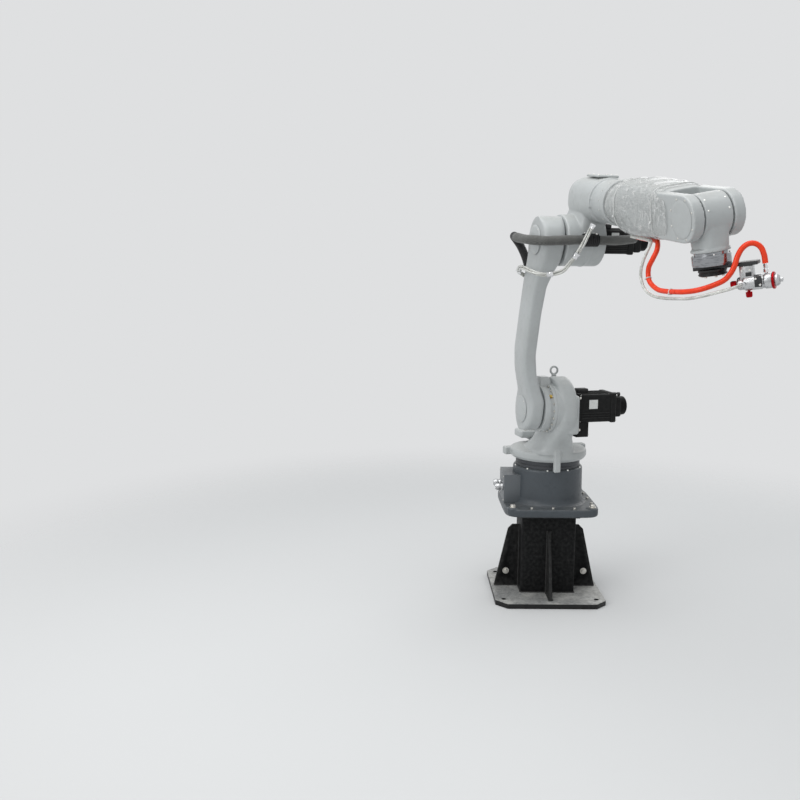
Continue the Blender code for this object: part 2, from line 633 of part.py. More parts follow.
def turret(parent):
    """The turning casting: round plate, bell-shaped ear, motor seat, reducer seat and stop lug and
    carrying bar."""
    chamfer = TURRET_CHAMFER
    bottom = RING_TOP + SEAT_GAP
    profile = [(TURRET_RADIUS - chamfer, bottom), (TURRET_RADIUS, bottom + chamfer),
               (TURRET_RADIUS, TURRET_PLATE_TOP - chamfer), (TURRET_RADIUS - chamfer, TURRET_PLATE_TOP)]
    casting = turned("turret_casting", profile, "casting_grey", parent, sides=ROUND_SIDES + FINE_SIDES)
    combine(casting, lofted("turret_ear_form", ear_sections(), "casting_grey", parent), "UNION")
    half = MOTOR_FLANGE_WIDTH / 2.0
    flange = block("motor_seat_form", (SHOULDER_FORWARD - half, EAR_OFFSET, SHOULDER_HEIGHT - MOTOR_FLANGE_DROP),
                   (SHOULDER_FORWARD + half, MOTOR_FLANGE_OUTER, SHOULDER_HEIGHT + MOTOR_FLANGE_RISE),
                   "casting_grey", parent)
    bevel(flange, MOTOR_FLANGE_RISE / 4.0, 2)
    combine(casting, flange, "UNION")
    shoulder = (SHOULDER_FORWARD, 0.0, SHOULDER_HEIGHT)
    outer = LOWER_HUB_SIDE + LOWER_HUB_HALF + SEAT_GAP
    recess = cylinder("reducer_recess_form", REDUCER_RADIUS + REDUCER_CLEARANCE, outer, -REDUCER_SEAT,
                      "casting_grey", parent, "y", shoulder)
    combine(casting, recess, "DIFFERENCE")
    seat = cylinder("reducer_seat_form", REDUCER_RADIUS, -REDUCER_SEAT, EAR_OFFSET, "casting_grey", parent,
                    "y", shoulder)
    combine(casting, seat, "UNION")
    boss = cylinder("eye_boss_form", EYE_BOSS_RADIUS, SHOULDER_HEIGHT, eye_seat(), "casting_grey", parent,
                    centre=(EYE_FORWARD, EYE_SIDE, 0.0), sides=FINE_SIDES)
    combine(casting, boss, "UNION")
    lug = block("stop_lug_form", (TURRET_RADIUS - LUG_SINK, LUG_SIDE - LUG_WIDTH / 2.0, RING_TOP - LUG_DROP),
                (TURRET_RADIUS + LUG_REACH, LUG_SIDE + LUG_WIDTH / 2.0, RING_TOP + LUG_RISE),
                "casting_grey", parent)
    combine(casting, lug, "UNION")
    low = RING_TOP + CARRY_BAR_RISE
    bar = block("carry_bar_form", (-CARRY_BAR_BACK - CARRY_BAR_HALF_WIDTH, -CARRY_BAR_REACH, low),
                (CARRY_BAR_HALF_WIDTH - CARRY_BAR_BACK, CARRY_BAR_REACH, low + CARRY_BAR_HEIGHT),
                "casting_grey", parent)
    combine(casting, bar, "UNION")
    cylinder("shoulder_reducer", REDUCER_RADIUS, outer, -REDUCER_SEAT - SEAT_GAP, "casting_grey", parent,
             "y", shoulder)
    servo("shoulder_motor", MOTOR_FLANGE_OUTER + SEAT_GAP, SHOULDER_MOTOR_WIDTH, SHOULDER_MOTOR_LENGTH,
          SHOULDER_MOTOR_CAP_WIDTH, SHOULDER_MOTOR_CAP_LENGTH, shoulder, parent)
    motor_adapter(parent)
    lifting_eye(parent)
    turn_drive(parent)


def motor_adapter(parent):
    """The adapter that the shoulder motor's shaft end runs through, hanging below the motor, as part of it."""
    start = MOTOR_FLANGE_OUTER + SEAT_GAP
    half = MOTOR_ADAPTER_WIDTH / 2.0
    low = SHOULDER_HEIGHT - MOTOR_ADAPTER_DROP
    form = block("motor_adapter_form", (SHOULDER_FORWARD - half, start, low),
                 (SHOULDER_FORWARD + half, start + MOTOR_ADAPTER_LENGTH, SHOULDER_HEIGHT), "motor_black", parent)
    combine(bpy.data.objects["shoulder_motor"], form, "UNION")


def servo(name, start, width, length, cap_width, cap_length, centre, parent):
    """A servo motor along y: square body, then a narrower encoder end."""
    x, _, z = centre
    half = width / 2.0
    body = block(name, (x - half, start, z - half), (x + half, start + length, z + half), "motor_black", parent)
    bevel(body, width / 14.0, 2)
    start = start + length + SEAT_GAP
    half = cap_width / 2.0
    cap = block(f"{name}_cap", (x - half, start, z - half), (x + half, start + cap_length, z + half),
                "motor_black", parent)
    bevel(cap, cap_width / 10.0, 2)


def eye_seat():
    """Height of the flat boss on the ear that the lifting eye stands on."""
    return SHOULDER_HEIGHT + EAR_RISE


def lifting_eye(parent):
    """The forged eye on top of the ear: a stem with a ring on it."""
    shape = bmesh.new()
    ring = Matrix.Translation((0.0, 0.0, EYE_STEM + EYE_RING_RADIUS))
    sides = FINE_SIDES
    rings = []
    for a in np.linspace(0.0, 2.0 * math.pi, sides, endpoint=False):
        loop = []
        for b in np.linspace(0.0, 2.0 * math.pi, sides // 2, endpoint=False):
            reach = EYE_RING_RADIUS + EYE_WIRE_RADIUS * math.cos(b)
            place = ring @ Vector((EYE_WIRE_RADIUS * math.sin(b), reach * math.cos(a), reach * math.sin(a)))
            loop.append(shape.verts.new(place))
        rings.append(loop)
    count = len(rings[0])
    for k, low in enumerate(rings):
        high = rings[(k + 1) % sides]
        for j in range(count):
            n = (j + 1) % count
            shape.faces.new((low[j], low[n], high[n], high[j]))
    top = eye_seat() + SEAT_GAP
    place = Matrix.Translation((EYE_FORWARD, EYE_SIDE, top))
    eye = finish_mesh("lifting_eye", shape, "casting_grey", parent, place)
    stem = cylinder("lifting_eye_stem", EYE_WIRE_RADIUS * 1.6, 0.0, EYE_STEM, "casting_grey", parent,
                    centre=(EYE_FORWARD, EYE_SIDE, top), sides=FINE_SIDES)
    combine(eye, stem, "UNION")


def turn_drive(parent):
    """The first axis motor behind the ear, standing on the turret plate, under its cover block."""
    half = TURN_MOTOR_WIDTH / 2.0
    foot = TURRET_PLATE_TOP + SEAT_GAP
    x = -TURN_MOTOR_BACK
    cover_low = foot + TURN_MOTOR_BASE_HEIGHT
    post = block("turn_motor_base", (x - half, -half, foot), (x + half, half, cover_low), "casting_grey", parent)
    bevel(post, TURN_MOTOR_WIDTH / 12.0)
    low = cover_low + SEAT_GAP
    side = TURN_COVER_WIDTH / 2.0
    cover = block("turn_motor_bracket", (x - half, TURN_COVER_SIDE - side, low),
                  (x + half * 0.8, TURN_COVER_SIDE + side, low + TURN_COVER_THICKNESS),
                  "casting_grey", parent)
    bevel(cover, TURN_COVER_THICKNESS / 6.0)
    low = low + TURN_COVER_THICKNESS + SEAT_GAP
    half = half * 0.78
    motor = block("turn_motor", (x - half, -half, low), (x + half, half, low + TURN_MOTOR_HEIGHT), "motor_black",
                  parent)
    bevel(motor, TURN_MOTOR_WIDTH / 14.0, 2)


# Upper arm

def link_sections():
    """Sections of the upper arm along its length: round hub, slim bowed link, round hub."""
    sections = []
    for degrees in (28.0, 48.0, 68.0):
        angle = math.radians(degrees)
        sections.append((-LOWER_HUB_RADIUS * math.cos(angle), 0.0, LOWER_HUB_SIDE,
                         LOWER_HUB_RADIUS * math.sin(angle), LOWER_HUB_HALF, 4.0))
    sections.append((0.0, 0.0, LOWER_HUB_SIDE, LOWER_HUB_RADIUS, LOWER_HUB_HALF, 4.0))
    for share, depth_share, bow_share, thick_share in LINK_SHAPE_SHARES:
        depth = LINK_HALF_DEPTH * depth_share
        thick = LINK_HALF_THICKNESS * thick_share
        base_side = LOWER_HUB_SIDE if share < 0.5 else UPPER_HUB_SIDE
        side = base_side + (LINK_BOW_SIDE - base_side) * bow_share
        sections.append((LINK_LENGTH * share, 0.0, side, depth, thick, 4.0))
    for degrees in (90.0, 112.0, 134.0, 152.0):
        angle = math.radians(degrees)
        sections.append((LINK_LENGTH - UPPER_HUB_RADIUS * math.cos(angle), 0.0, UPPER_HUB_SIDE,
                         UPPER_HUB_RADIUS * math.sin(angle), UPPER_HUB_HALF, 4.0))
    return sections


def upper_arm(parent):
    """The upper arm casting between the shoulder and the elbow, with a cover on each hub."""
    lofted("upper_arm", link_sections(), "casting_grey", parent)
    for name, height, side, half in (("shoulder_cover", 0.0, LOWER_HUB_SIDE, LOWER_HUB_HALF),
                                     ("elbow_cover", LINK_LENGTH, UPPER_HUB_SIDE, UPPER_HUB_HALF)):
        outer = side - half - SEAT_GAP
        profile = [(HUB_COVER_RADIUS - HUB_COVER_THICKNESS / 2.0, outer - HUB_COVER_THICKNESS),
                   (HUB_COVER_RADIUS, outer - HUB_COVER_THICKNESS / 2.0), (HUB_COVER_RADIUS, outer)]
        turned(name, profile, "casting_grey", parent, "y", (0.0, 0.0, height))


# Elbow

def elbow(parent):
    """The elbow casting: a drum about the elbow axis under the housing of the roll axis."""
    inner = UPPER_HUB_SIDE + UPPER_HUB_HALF + SEAT_GAP
    casting = cylinder("elbow_casting", ELBOW_RADIUS, inner, ELBOW_OUTER, "casting_grey", parent, "y")
    w = ELBOW_HOUSING_HALF_WIDTH
    h = ELBOW_HOUSING_HALF_HEIGHT
    back = -ELBOW_HOUSING_BACK
    front = ELBOW_HOUSING_FRONT
    span = front - back
    rise = FOREARM_RISE
    sections = [(back, 0.0, rise - 0.1 * h, 0.7 * w, 0.62 * h, 2.8),
                (back + 0.08 * span, 0.0, rise, 0.92 * w, 0.9 * h, 2.6),
                (back + 0.25 * span, 0.0, rise, w, h, 2.5),
                (back + 0.75 * span, 0.0, rise, w, h, 2.4),
                (front, 0.0, rise, 0.98 * w, 0.98 * h, 2.2)]
    combine(casting, lofted("elbow_housing_form", sections, "casting_grey", parent, "x"), "UNION")
    level = ELBOW_MOTOR_WIDTH / 2.0 + 4.0 * TURN_GAP
    side = ELBOW_OUTER - TURN_GAP / 2.0 - 0.66 * w
    neck = [(0.0, 0.0, side, 0.93 * ELBOW_RADIUS, 0.66 * w, 5.0),
            (level, 0.0, side, 0.93 * ELBOW_RADIUS, 0.66 * w, 5.0),
            (rise, 0.2 * ELBOW_RADIUS, 0.0, 0.72 * ELBOW_RADIUS, 0.8 * w, 5.0)]
    combine(casting, lofted("elbow_neck_form", neck, "casting_grey", parent, "z"), "UNION")
    nose = cylinder("elbow_nose_form", ELBOW_NOSE_RADIUS, 0.0, ELBOW_NOSE_END, "casting_grey", parent, "x",
                    (0.0, 0.0, rise))
    combine(casting, nose, "UNION")
    servo("elbow_motor", ELBOW_OUTER + SEAT_GAP, ELBOW_MOTOR_WIDTH, ELBOW_MOTOR_LENGTH, ELBOW_MOTOR_CAP_WIDTH,
          ELBOW_MOTOR_CAP_LENGTH, (0.0, 0.0, 0.0), parent)
    half = ROLL_MOTOR_WIDTH / 2.0
    end = back - SEAT_GAP
    low = rise - 0.1 * h
    motor = block("roll_motor", (end - ROLL_MOTOR_LENGTH, -half, low - half), (end, half, low + half),
                  "motor_black", parent)
    bevel(motor, ROLL_MOTOR_WIDTH / 14.0, 2)
    top = rise + h + SEAT_GAP
    side = ELBOW_COVER_HALF_WIDTH
    plate = block("elbow_top_cover", (ELBOW_COVER_START, -side, top),
                  (ELBOW_COVER_FRONT, side, top + ELBOW_COVER_THICKNESS), "casting_grey", parent)
    bevel(plate, ELBOW_COVER_THICKNESS / 3.0)


# Forearm

def forearm(parent):
    """The rolling forearm casting with its fork, the ring behind it and the fork's end covers."""
    start = ELBOW_NOSE_END + SEAT_GAP
    end = start + ROLL_RING_THICKNESS
    cylinder("roll_ring", ROLL_RING_RADIUS, start, end, "steel", parent, "x")
    start = end + SEAT_GAP
    root = FOREARM_LENGTH - FORK_ROOT
    n = FOREARM_NECK_RADIUS
    b = FOREARM_BULGE_HALF
    t = FOREARM_TIP_HALF
    neck_end = FOREARM_NECK_END
    span = root - neck_end
    sections = [(start, 0.0, 0.0, n, n, 2.0), (neck_end - 0.08 * span, 0.0, 0.0, n, n, 2.0),
                (neck_end + 0.05 * span, 0.0, 0.0, b, b, 2.8), (neck_end + 0.35 * span, 0.0, 0.0, b, b, 3.6),
                (neck_end + 0.75 * span, 0.0, 0.0, 0.96 * b, 0.93 * b, 4.0), (root, 0.0, 0.0, t, 0.9 * t, 4.2)]
    casting = lofted("forearm_casting", sections, "casting_grey", parent, "x")
    inner = FORK_INNER
    outer = FORK_INNER + TINE_THICKNESS
    for name, low, high in (("fork_form_left", inner, outer), ("fork_form_right", -outer, -inner)):
        outline = [(root - 0.2 * FORK_ROOT, -TINE_RADIUS), (FOREARM_LENGTH, -TINE_RADIUS)]
        for degrees in range(-75, 90, 15):
            angle = math.radians(degrees)
            outline.append((FOREARM_LENGTH + TINE_RADIUS * math.cos(angle), TINE_RADIUS * math.sin(angle)))
        outline += [(FOREARM_LENGTH, TINE_RADIUS), (root - 0.2 * FORK_ROOT, TINE_RADIUS)]
        combine(casting, prism(name, outline, low, high, "casting_grey", parent, axis="y"), "UNION")
    for name, side in (("fork_cover_near", -1.0), ("fork_cover_far", 1.0)):
        low, high = sorted((side * (outer + SEAT_GAP), side * (outer + TINE_CAP_THICKNESS)))
        cylinder(name, 0.8 * TINE_RADIUS, low, high, "casting_grey", parent, "y", (FOREARM_LENGTH, 0.0, 0.0))


# Wrist and tool

def wrist(parent):
    """The wrist casting: a drum between the fork's tines and a neck down to the tool flange."""
    journal = FORK_INNER - SEAT_GAP
    drum = FORK_INNER - WRIST_GAP
    profile = [(0.5 * WRIST_RADIUS, -journal), (0.5 * WRIST_RADIUS, -drum), (WRIST_RADIUS, -drum),
               (WRIST_RADIUS, drum), (0.5 * WRIST_RADIUS, drum), (0.5 * WRIST_RADIUS, journal)]
    casting = turned("wrist_casting", profile, "casting_grey", parent, "y")
    reach = WRIST_BLOCK_REACH
    f = WRIST_FLANGE_RADIUS
    sections = [(0.0, 0.0, 0.0, 0.97 * drum, 0.97 * WRIST_RADIUS, 4.0),
                (0.6 * reach, 0.0, 0.0, 0.97 * drum, 0.8 * WRIST_RADIUS, 4.0),
                (0.88 * reach, 0.0, 0.0, drum, 0.95 * f, 3.0), (0.93 * reach, 0.0, 0.0, f, f, 2.0),
                (reach, 0.0, 0.0, f, f, 2.0)]
    combine(casting, lofted("wrist_neck_form", sections, "casting_grey", parent, "x"), "UNION")


def tool(parent):
    """Flange adapter, disc, bracket and the spray gun that it carries."""
    start = WRIST_BLOCK_REACH + SEAT_GAP
    end = start + ADAPTER_LENGTH
    lip = ADAPTER_LENGTH / 5.0
    profile = [(0.86 * ADAPTER_RADIUS, start), (0.86 * ADAPTER_RADIUS, start + lip), (ADAPTER_RADIUS, start + lip),
               (ADAPTER_RADIUS, end)]
    turned("flange_adapter", profile, "aluminium", parent, "x")
    start = BRACKET_SEAT
    end = start + BRACKET_THICKNESS
    aim = Matrix.Rotation(math.radians(BRACKET_TURN_DEG), 4, "X")
    half = BRACKET_WIDTH / 2.0
    arm = block("gun_bracket", (start, -half, -0.9 * ADAPTER_RADIUS), (end, half, BRACKET_REACH), "tool_black", parent)
    arm.matrix_basis = aim.inverted()
    bevel(arm, BRACKET_THICKNESS / 4.0)
    start = end + SEAT_GAP
    cylinder("tool_disc", DISC_RADIUS, start, start + DISC_THICKNESS, "tool_black", parent, "x")
    gun(parent, aim.inverted(), start)


def gun(parent, aim, seat):
    """The automatic spray gun under the bracket, aimed along it."""
    drop = GUN_AXIS_DEPTH
    tail = GUN_TAIL
    nose = tail + GUN_LENGTH
    body = cylinder("gun_body", GUN_RADIUS, tail, nose, "gun_silver", parent, "z", (drop, 0.0, 0.0), FINE_SIDES * 2)
    saddle = block("gun_saddle_form", (seat, -GUN_RADIUS * 0.7, tail + GUN_LENGTH * 0.1),
                   (drop, GUN_RADIUS * 0.7, tail + GUN_LENGTH * 0.5), "gun_silver", parent)
    combine(body, saddle, "UNION")
    ring_start = nose + SEAT_GAP
    ring = cylinder("gun_ring", GUN_RING_RADIUS, ring_start, ring_start + GUN_RING_LENGTH, "red_anodised", parent, "z",
                    (drop, 0.0, 0.0), FINE_SIDES * 2)
    cap_start = ring_start + GUN_RING_LENGTH + SEAT_GAP
    profile = [(AIR_CAP_RADIUS, cap_start), (AIR_CAP_RADIUS, cap_start + AIR_CAP_LENGTH * 0.6),
               (AIR_CAP_RADIUS * 0.4, cap_start + AIR_CAP_LENGTH)]
    cap = turned("gun_air_cap", profile, "gun_silver", parent, "z", (drop, 0.0, 0.0), FINE_SIDES * 2)
    knob = cylinder("gun_back_knob", KNOB_RADIUS, tail - KNOB_LENGTH, tail - SEAT_GAP, "red_anodised", parent, "z",
                    (drop, 0.0, 0.0), FINE_SIDES)
    low = drop + GUN_RADIUS + SEAT_GAP
    side_knob = cylinder("gun_side_knob", KNOB_RADIUS, low, low + KNOB_LENGTH, "red_anodised", parent, "x",
                         (0.0, 0.0, tail + GUN_LENGTH * 0.3), FINE_SIDES)
    place = tail + GUN_LENGTH * 0.84
    fitting = cylinder("gun_fluid_fitting", FITTING_RADIUS, drop - GUN_RADIUS - FITTING_LENGTH,
                       drop - GUN_RADIUS - SEAT_GAP, "steel", parent, "x", (0.0, 0.0, place), FINE_SIDES)
    second = cylinder("gun_air_fitting", FITTING_RADIUS, -GUN_RADIUS - FITTING_LENGTH, -GUN_RADIUS - SEAT_GAP,
                      "steel", parent, "y", (drop, 0.0, tail + GUN_LENGTH * 0.2), FINE_SIDES)
    for thing in (body, saddle, ring, cap, knob, side_knob, fitting, second):
        thing.matrix_basis = aim @ thing.matrix_basis


# Hoses

def hoses(frames):
    """Hoses laid in the arm's frame at rest, each carried by one body."""
    places = route_frames()
    routes = (("sleeve_rear", SLEEVE_REAR_ROUTE, SLEEVE_RADIUS, "sleeve", "link"),
              ("sleeve_front", SLEEVE_FRONT_ROUTE, SLEEVE_RADIUS, "sleeve", "elbow"),
              ("elbow_air_hose", ELBOW_AIR_ROUTE, AIR_HOSE_RADIUS, "clear_hose", "link"),
              ("paint_hose_loop", PAINT_LOOP_ROUTE, PAINT_HOSE_RADIUS, "orange_hose", "forearm"),
              ("paint_hose_tail", PAINT_TAIL_ROUTE, PAINT_HOSE_RADIUS, "orange_hose", "wrist"),
              ("gun_air_hose_loop", AIR_LOOP_ROUTE, GUN_AIR_HOSE_RADIUS, "clear_hose", "forearm"),
              ("gun_air_hose_tail", AIR_TAIL_ROUTE, GUN_AIR_HOSE_RADIUS, "clear_hose", "wrist"))
    for name, route, radius, finish, body in routes:
        points = []
        for place, stretch in route:
            points += [places[place] @ Vector(point) for point in stretch]
        hose(name, points, radius, finish, frames[body], matrix=places[body].inverted())
    sleeve_clamp(frames["elbow"])


def sleeve_clamp(parent):
    """The black clamp that holds the sleeve on the front of the elbow casting."""
    middle = Vector((ELBOW_RADIUS + SLEEVE_CLAMP_STANDOFF, SLEEVE_CLAMP_SIDE, SLEEVE_CLAMP_RISE))
    half = SLEEVE_CLAMP_LENGTH / 2.0
    clamp = cylinder("sleeve_clamp", SLEEVE_CLAMP_RADIUS, -half, half, "rubber", parent, "y", middle)
    width = SLEEVE_CLAMP_RADIUS * 0.7
    foot = block("sleeve_clamp_foot_form", (ELBOW_RADIUS + SEAT_GAP, middle.y - half * 0.7, -width),
                 (middle.x, middle.y + half * 0.7, middle.z + width), "rubber", parent)
    combine(clamp, foot, "UNION")


def main():
    """Build the whole robot arm."""
    clear_scene()
    root = empty("base_frame", None, Matrix.Identity(4))
    floor_plate(root)
    pedestal(root)
    base(root)
    arm = empty("turret_frame", root, turn(ARM_TURN_DEG, "Z"))
    frames = {name: empty(f"{name}_frame", arm, matrix) for name, matrix in arm_frames().items()}
    turret(arm)
    upper_arm(frames["link"])
    elbow(frames["elbow"])
    forearm(frames["forearm"])
    wrist(frames["wrist"])
    tool(frames["tool"])
    hoses(frames)


main()
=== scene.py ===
"""The dressed robot arm: smooth castings, fasteners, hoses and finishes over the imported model.

Everything is in the row frame, in metres. The arm's own frames, with x forward along the arm and y
to the motor side, repeat the part's source, so each piece lands on the solid that it stands for.
"""

import math

import bmesh
import bpy
import numpy as np
from mathutils import Matrix


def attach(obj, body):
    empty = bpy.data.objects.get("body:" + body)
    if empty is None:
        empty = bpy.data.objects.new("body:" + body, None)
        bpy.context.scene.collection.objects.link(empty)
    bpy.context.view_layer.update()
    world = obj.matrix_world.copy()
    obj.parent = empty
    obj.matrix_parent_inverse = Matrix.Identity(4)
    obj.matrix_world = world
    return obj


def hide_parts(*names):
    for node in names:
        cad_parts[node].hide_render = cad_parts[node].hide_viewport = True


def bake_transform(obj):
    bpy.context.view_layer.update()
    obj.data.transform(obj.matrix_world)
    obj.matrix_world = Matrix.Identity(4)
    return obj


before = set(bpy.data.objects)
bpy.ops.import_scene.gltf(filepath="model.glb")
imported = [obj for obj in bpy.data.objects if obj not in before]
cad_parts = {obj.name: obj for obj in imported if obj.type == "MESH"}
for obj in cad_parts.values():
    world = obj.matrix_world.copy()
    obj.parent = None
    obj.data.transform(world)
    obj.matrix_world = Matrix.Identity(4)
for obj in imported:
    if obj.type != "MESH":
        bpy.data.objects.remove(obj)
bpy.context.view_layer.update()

# Camera of the photograph
CAMERA_PLACE = (-0.685, -4.085, 1.5)
CAMERA_DOWN_DEG = 8.34
CAMERA_ROLL_DEG = 0.37
CAMERA_LENS = 40.5

# The arm's sizes, as in the part's source
SEAT_GAP = 0.0003
PLATE_TOP = 0.0223
COLUMN_HALF_X = 0.123
COLUMN_HALF_Y = 0.1
BASE_SEAT = 0.4065
FLANGE_TOP = 0.4425
DRUM_RADIUS = 0.158
DRUM_TOP = 0.608
RING_RADIUS = 0.146
RING_TOP = 0.645
TURRET_RADIUS = 0.174
TURRET_TOP = 0.697
SHOULDER = (0.15, 0.0, 0.895)
LINK_LENGTH = 0.748
FOREARM_RISE = 0.168
FOREARM_LENGTH = 0.8325
EAR_RADIUS = 0.112
EAR_HALF = 0.0525
EAR_OFFSET = -0.0125
EAR_RISE = 0.138
REDUCER_RADIUS = 0.108
REDUCER_SEAT = 0.07
MOTOR_SEAT = 0.0413
HUB_RADIUS = 0.096
LOWER_HUB_SIDE = -0.16
UPPER_HUB_SIDE = -0.186
BOW_SIDE = -0.215
ELBOW_OUTER = 0.03
NOSE_RADIUS = 0.087
NOSE_END = 0.266
WRIST_REACH = 0.115
BRACKET_SEAT = 0.1586
BRACKET_REACH = 0.143
GUN_DEPTH = 0.2269


# Frames

def shift(x, y, z):
    """A 4x4 move."""
    made = np.eye(4)
    made[:3, 3] = (x, y, z)
    return made


def turn(degrees, axis):
    """A 4x4 turn about one axis."""
    return np.array(Matrix.Rotation(math.radians(degrees), 4, axis))


WORLD = np.eye(4)
TURRET = turn(-76.0, "Z")
LINK = TURRET @ shift(*SHOULDER) @ turn(15.5, "Y")
LINK_END = LINK @ shift(0.0, 0.0, LINK_LENGTH)
ELBOW = LINK_END @ turn(7.6 - 15.5, "Y")
HOUSING = ELBOW @ shift(0.0, 0.0, FOREARM_RISE)
FOREARM = HOUSING @ turn(10.0, "X")
FORK = FOREARM @ shift(FOREARM_LENGTH, 0.0, 0.0)
TOOL = FORK @ turn(82.4, "Y")
GUN = TOOL @ turn(-45.0, "X") @ shift(GUN_DEPTH, 0.0, 0.0)
CLAMP = ELBOW @ shift(0.136, -0.06, 0.016)


def moved(shape, place):
    """A shape put in place by a 4x4."""
    points, faces = shape
    return points @ place[:3, :3].T + place[:3, 3], faces


def joined(*shapes):
    """Several shapes as one."""
    points = np.vstack([shape[0] for shape in shapes])
    faces = []
    start = 0
    for shape in shapes:
        faces += [[index + start for index in face] for face in shape[1]]
        start += len(shape[0])
    return points, faces


def repeated(shape, places):
    """One shape at each of several 4x4 places."""
    return joined(*[moved(shape, place) for place in places])


# Shapes

ORDER = {"x": [2, 0, 1], "y": [0, 2, 1], "z": [0, 1, 2]}


def skin(rings, closed=False):
    """Closed rings of points (n, m, 3) joined by quads, with each end fanned to its middle, or the last ring
    joined to the first."""
    count, sides = rings.shape[:2]
    index = np.arange(count * sides).reshape(count, sides)
    low = index if closed else index[:-1]
    high = np.roll(index, -1, axis=0) if closed else index[1:]
    quads = np.stack([low, np.roll(low, -1, 1), np.roll(high, -1, 1), high], -1).reshape(-1, 4)
    points = rings.reshape(-1, 3)
    faces = quads.tolist()
    if not closed:
        for ring in (index[0], index[-1]):
            middle = len(points)
            points = np.vstack([points, points[ring].mean(axis=0)])
            faces += np.stack([ring, np.roll(ring, -1), np.full(sides, middle)], -1).tolist()
    return points, faces


def eased(table, count, passes=4):
    """Rows of numbers resampled evenly along their own path, then averaged with their neighbours a few times,
    so that every kink becomes a soft bend. The end rows stay."""
    rows = np.array(table, dtype=float)
    step = np.linalg.norm(np.diff(rows[:, :5], axis=0), axis=1)
    run = np.concatenate([[0.0], np.cumsum(step)])
    wanted = np.linspace(0.0, run[-1], count)
    fine = np.stack([np.interp(wanted, run, rows[:, k]) for k in range(rows.shape[1])], axis=1)
    for _ in range(passes):
        fine[1:-1] = 0.25 * fine[:-2] + 0.5 * fine[1:-1] + 0.25 * fine[2:]
    return fine


def superellipse(half_u, half_v, power, sides):
    """Points with |u/a|^p + |v/b|^p = 1, one row for each a, b, p."""
    angle = np.linspace(0.0, 2.0 * math.pi, sides, endpoint=False)
    bend = 2.0 / np.asarray(power)[:, None]
    u = np.asarray(half_u)[:, None] * np.sign(np.cos(angle)) * np.abs(np.cos(angle)) ** bend
    v = np.asarray(half_v)[:, None] * np.sign(np.sin(angle)) * np.abs(np.sin(angle)) ** bend
    return u, v


def loft(sections, axis="z", count=60, sides=64, passes=4):
    """A skin over superellipse sections (station, centre u, centre v, half u, half v, power), eased between
    them."""
    table = eased(sections, count, passes)
    u, v = superellipse(table[:, 3], table[:, 4], table[:, 5], sides)
    station = np.repeat(table[:, :1], sides, axis=1)
    return skin(np.stack([u + table[:, 1:2], v + table[:, 2:3], station], -1)[..., ORDER[axis]])


def rounded_outline(corners, ease):
    """A line of (radius, height) corners, each cut back by ease and bridged by a parabola."""
    line = np.array(corners, dtype=float)
    before = line[:-2] - line[1:-1]
    after = line[2:] - line[1:-1]
    reach_before = np.linalg.norm(before, axis=1, keepdims=True) + 1e-12
    reach_after = np.linalg.norm(after, axis=1, keepdims=True) + 1e-12
    start = line[1:-1] + before / reach_before * np.minimum(ease, 0.45 * reach_before)
    end = line[1:-1] + after / reach_after * np.minimum(ease, 0.45 * reach_after)
    share = np.linspace(0.0, 1.0, 4)[None, :, None]
    bridge = (1 - share) ** 2 * start[:, None] + 2 * share * (1 - share) * line[1:-1, None] + share ** 2 * end[:, None]
    return np.vstack([line[:1], bridge.reshape(-1, 2), line[-1:]])


def revolve(corners, axis="z", ease=0.0015, sides=64):
    """A line of (radius, height) corners from axis to axis, turned full circle."""
    line = rounded_outline(corners, ease)
    angle = np.linspace(0.0, 2.0 * math.pi, sides, endpoint=False)
    u = line[:, :1] * np.cos(angle)
    v = line[:, :1] * np.sin(angle)
    height = np.repeat(line[:, 1:], sides, axis=1)
    return skin(np.stack([u, v, height], -1)[..., ORDER[axis]])


def disc(radius, low, high, axis="z", ease=0.0015, sides=64):
    """A cylinder with eased rims."""
    return revolve([(0.0, low), (radius, low), (radius, high), (0.0, high)], axis, ease, sides)


def rounded_box(low, high, radius, steps=4):
    """A box with an eighth of a ball of that radius at each corner: the ball's rings are pulled apart by the
    box's own half sizes."""
    low = np.array(low, dtype=float)
    high = np.array(high, dtype=float)
    half = (high - low) / 2.0 - radius
    quarter = np.linspace(0.0, math.pi / 2.0, steps)
    rise = np.concatenate([-quarter[::-1], quarter])
    side = np.repeat([-1.0, 1.0], steps)
    spin = (np.arange(4)[:, None] * math.pi / 2.0 + quarter).ravel()
    side_x = np.repeat([1.0, -1.0, -1.0, 1.0], steps)
    side_y = np.repeat([1.0, 1.0, -1.0, -1.0], steps)
    x = side_x * half[0] + radius * np.cos(rise)[:, None] * np.cos(spin)
    y = side_y * half[1] + radius * np.cos(rise)[:, None] * np.sin(spin)
    z = np.repeat((side * half[2] + radius * np.sin(rise))[:, None], len(spin), axis=1)
    return skin(np.stack([x, y, z], -1) + (low + high) / 2.0)


def smooth_route(points, count):
    """Points of a Catmull-Rom curve through a route, evenly spaced along it."""
    knots = np.array(points, dtype=float)
    padded = np.vstack([2.0 * knots[0] - knots[1], knots, 2.0 * knots[-1] - knots[-2]])
    share = np.linspace(0.0, 1.0, 24, endpoint=False)[None, :, None]
    first, second, third, fourth = (padded[k:len(padded) - 3 + k, None] for k in range(4))
    fine = 0.5 * (2.0 * second + (third - first) * share
                  + (2.0 * first - 5.0 * second + 4.0 * third - fourth) * share ** 2
                  + (3.0 * second - first - 3.0 * third + fourth) * share ** 3)
    fine = np.vstack([fine.reshape(-1, 3), knots[-1:]])
    run = np.concatenate([[0.0], np.cumsum(np.linalg.norm(np.diff(fine, axis=0), axis=1))])
    wanted = np.linspace(0.0, run[-1], count)
    return np.stack([np.interp(wanted, run, fine[:, k]) for k in range(3)], axis=1)


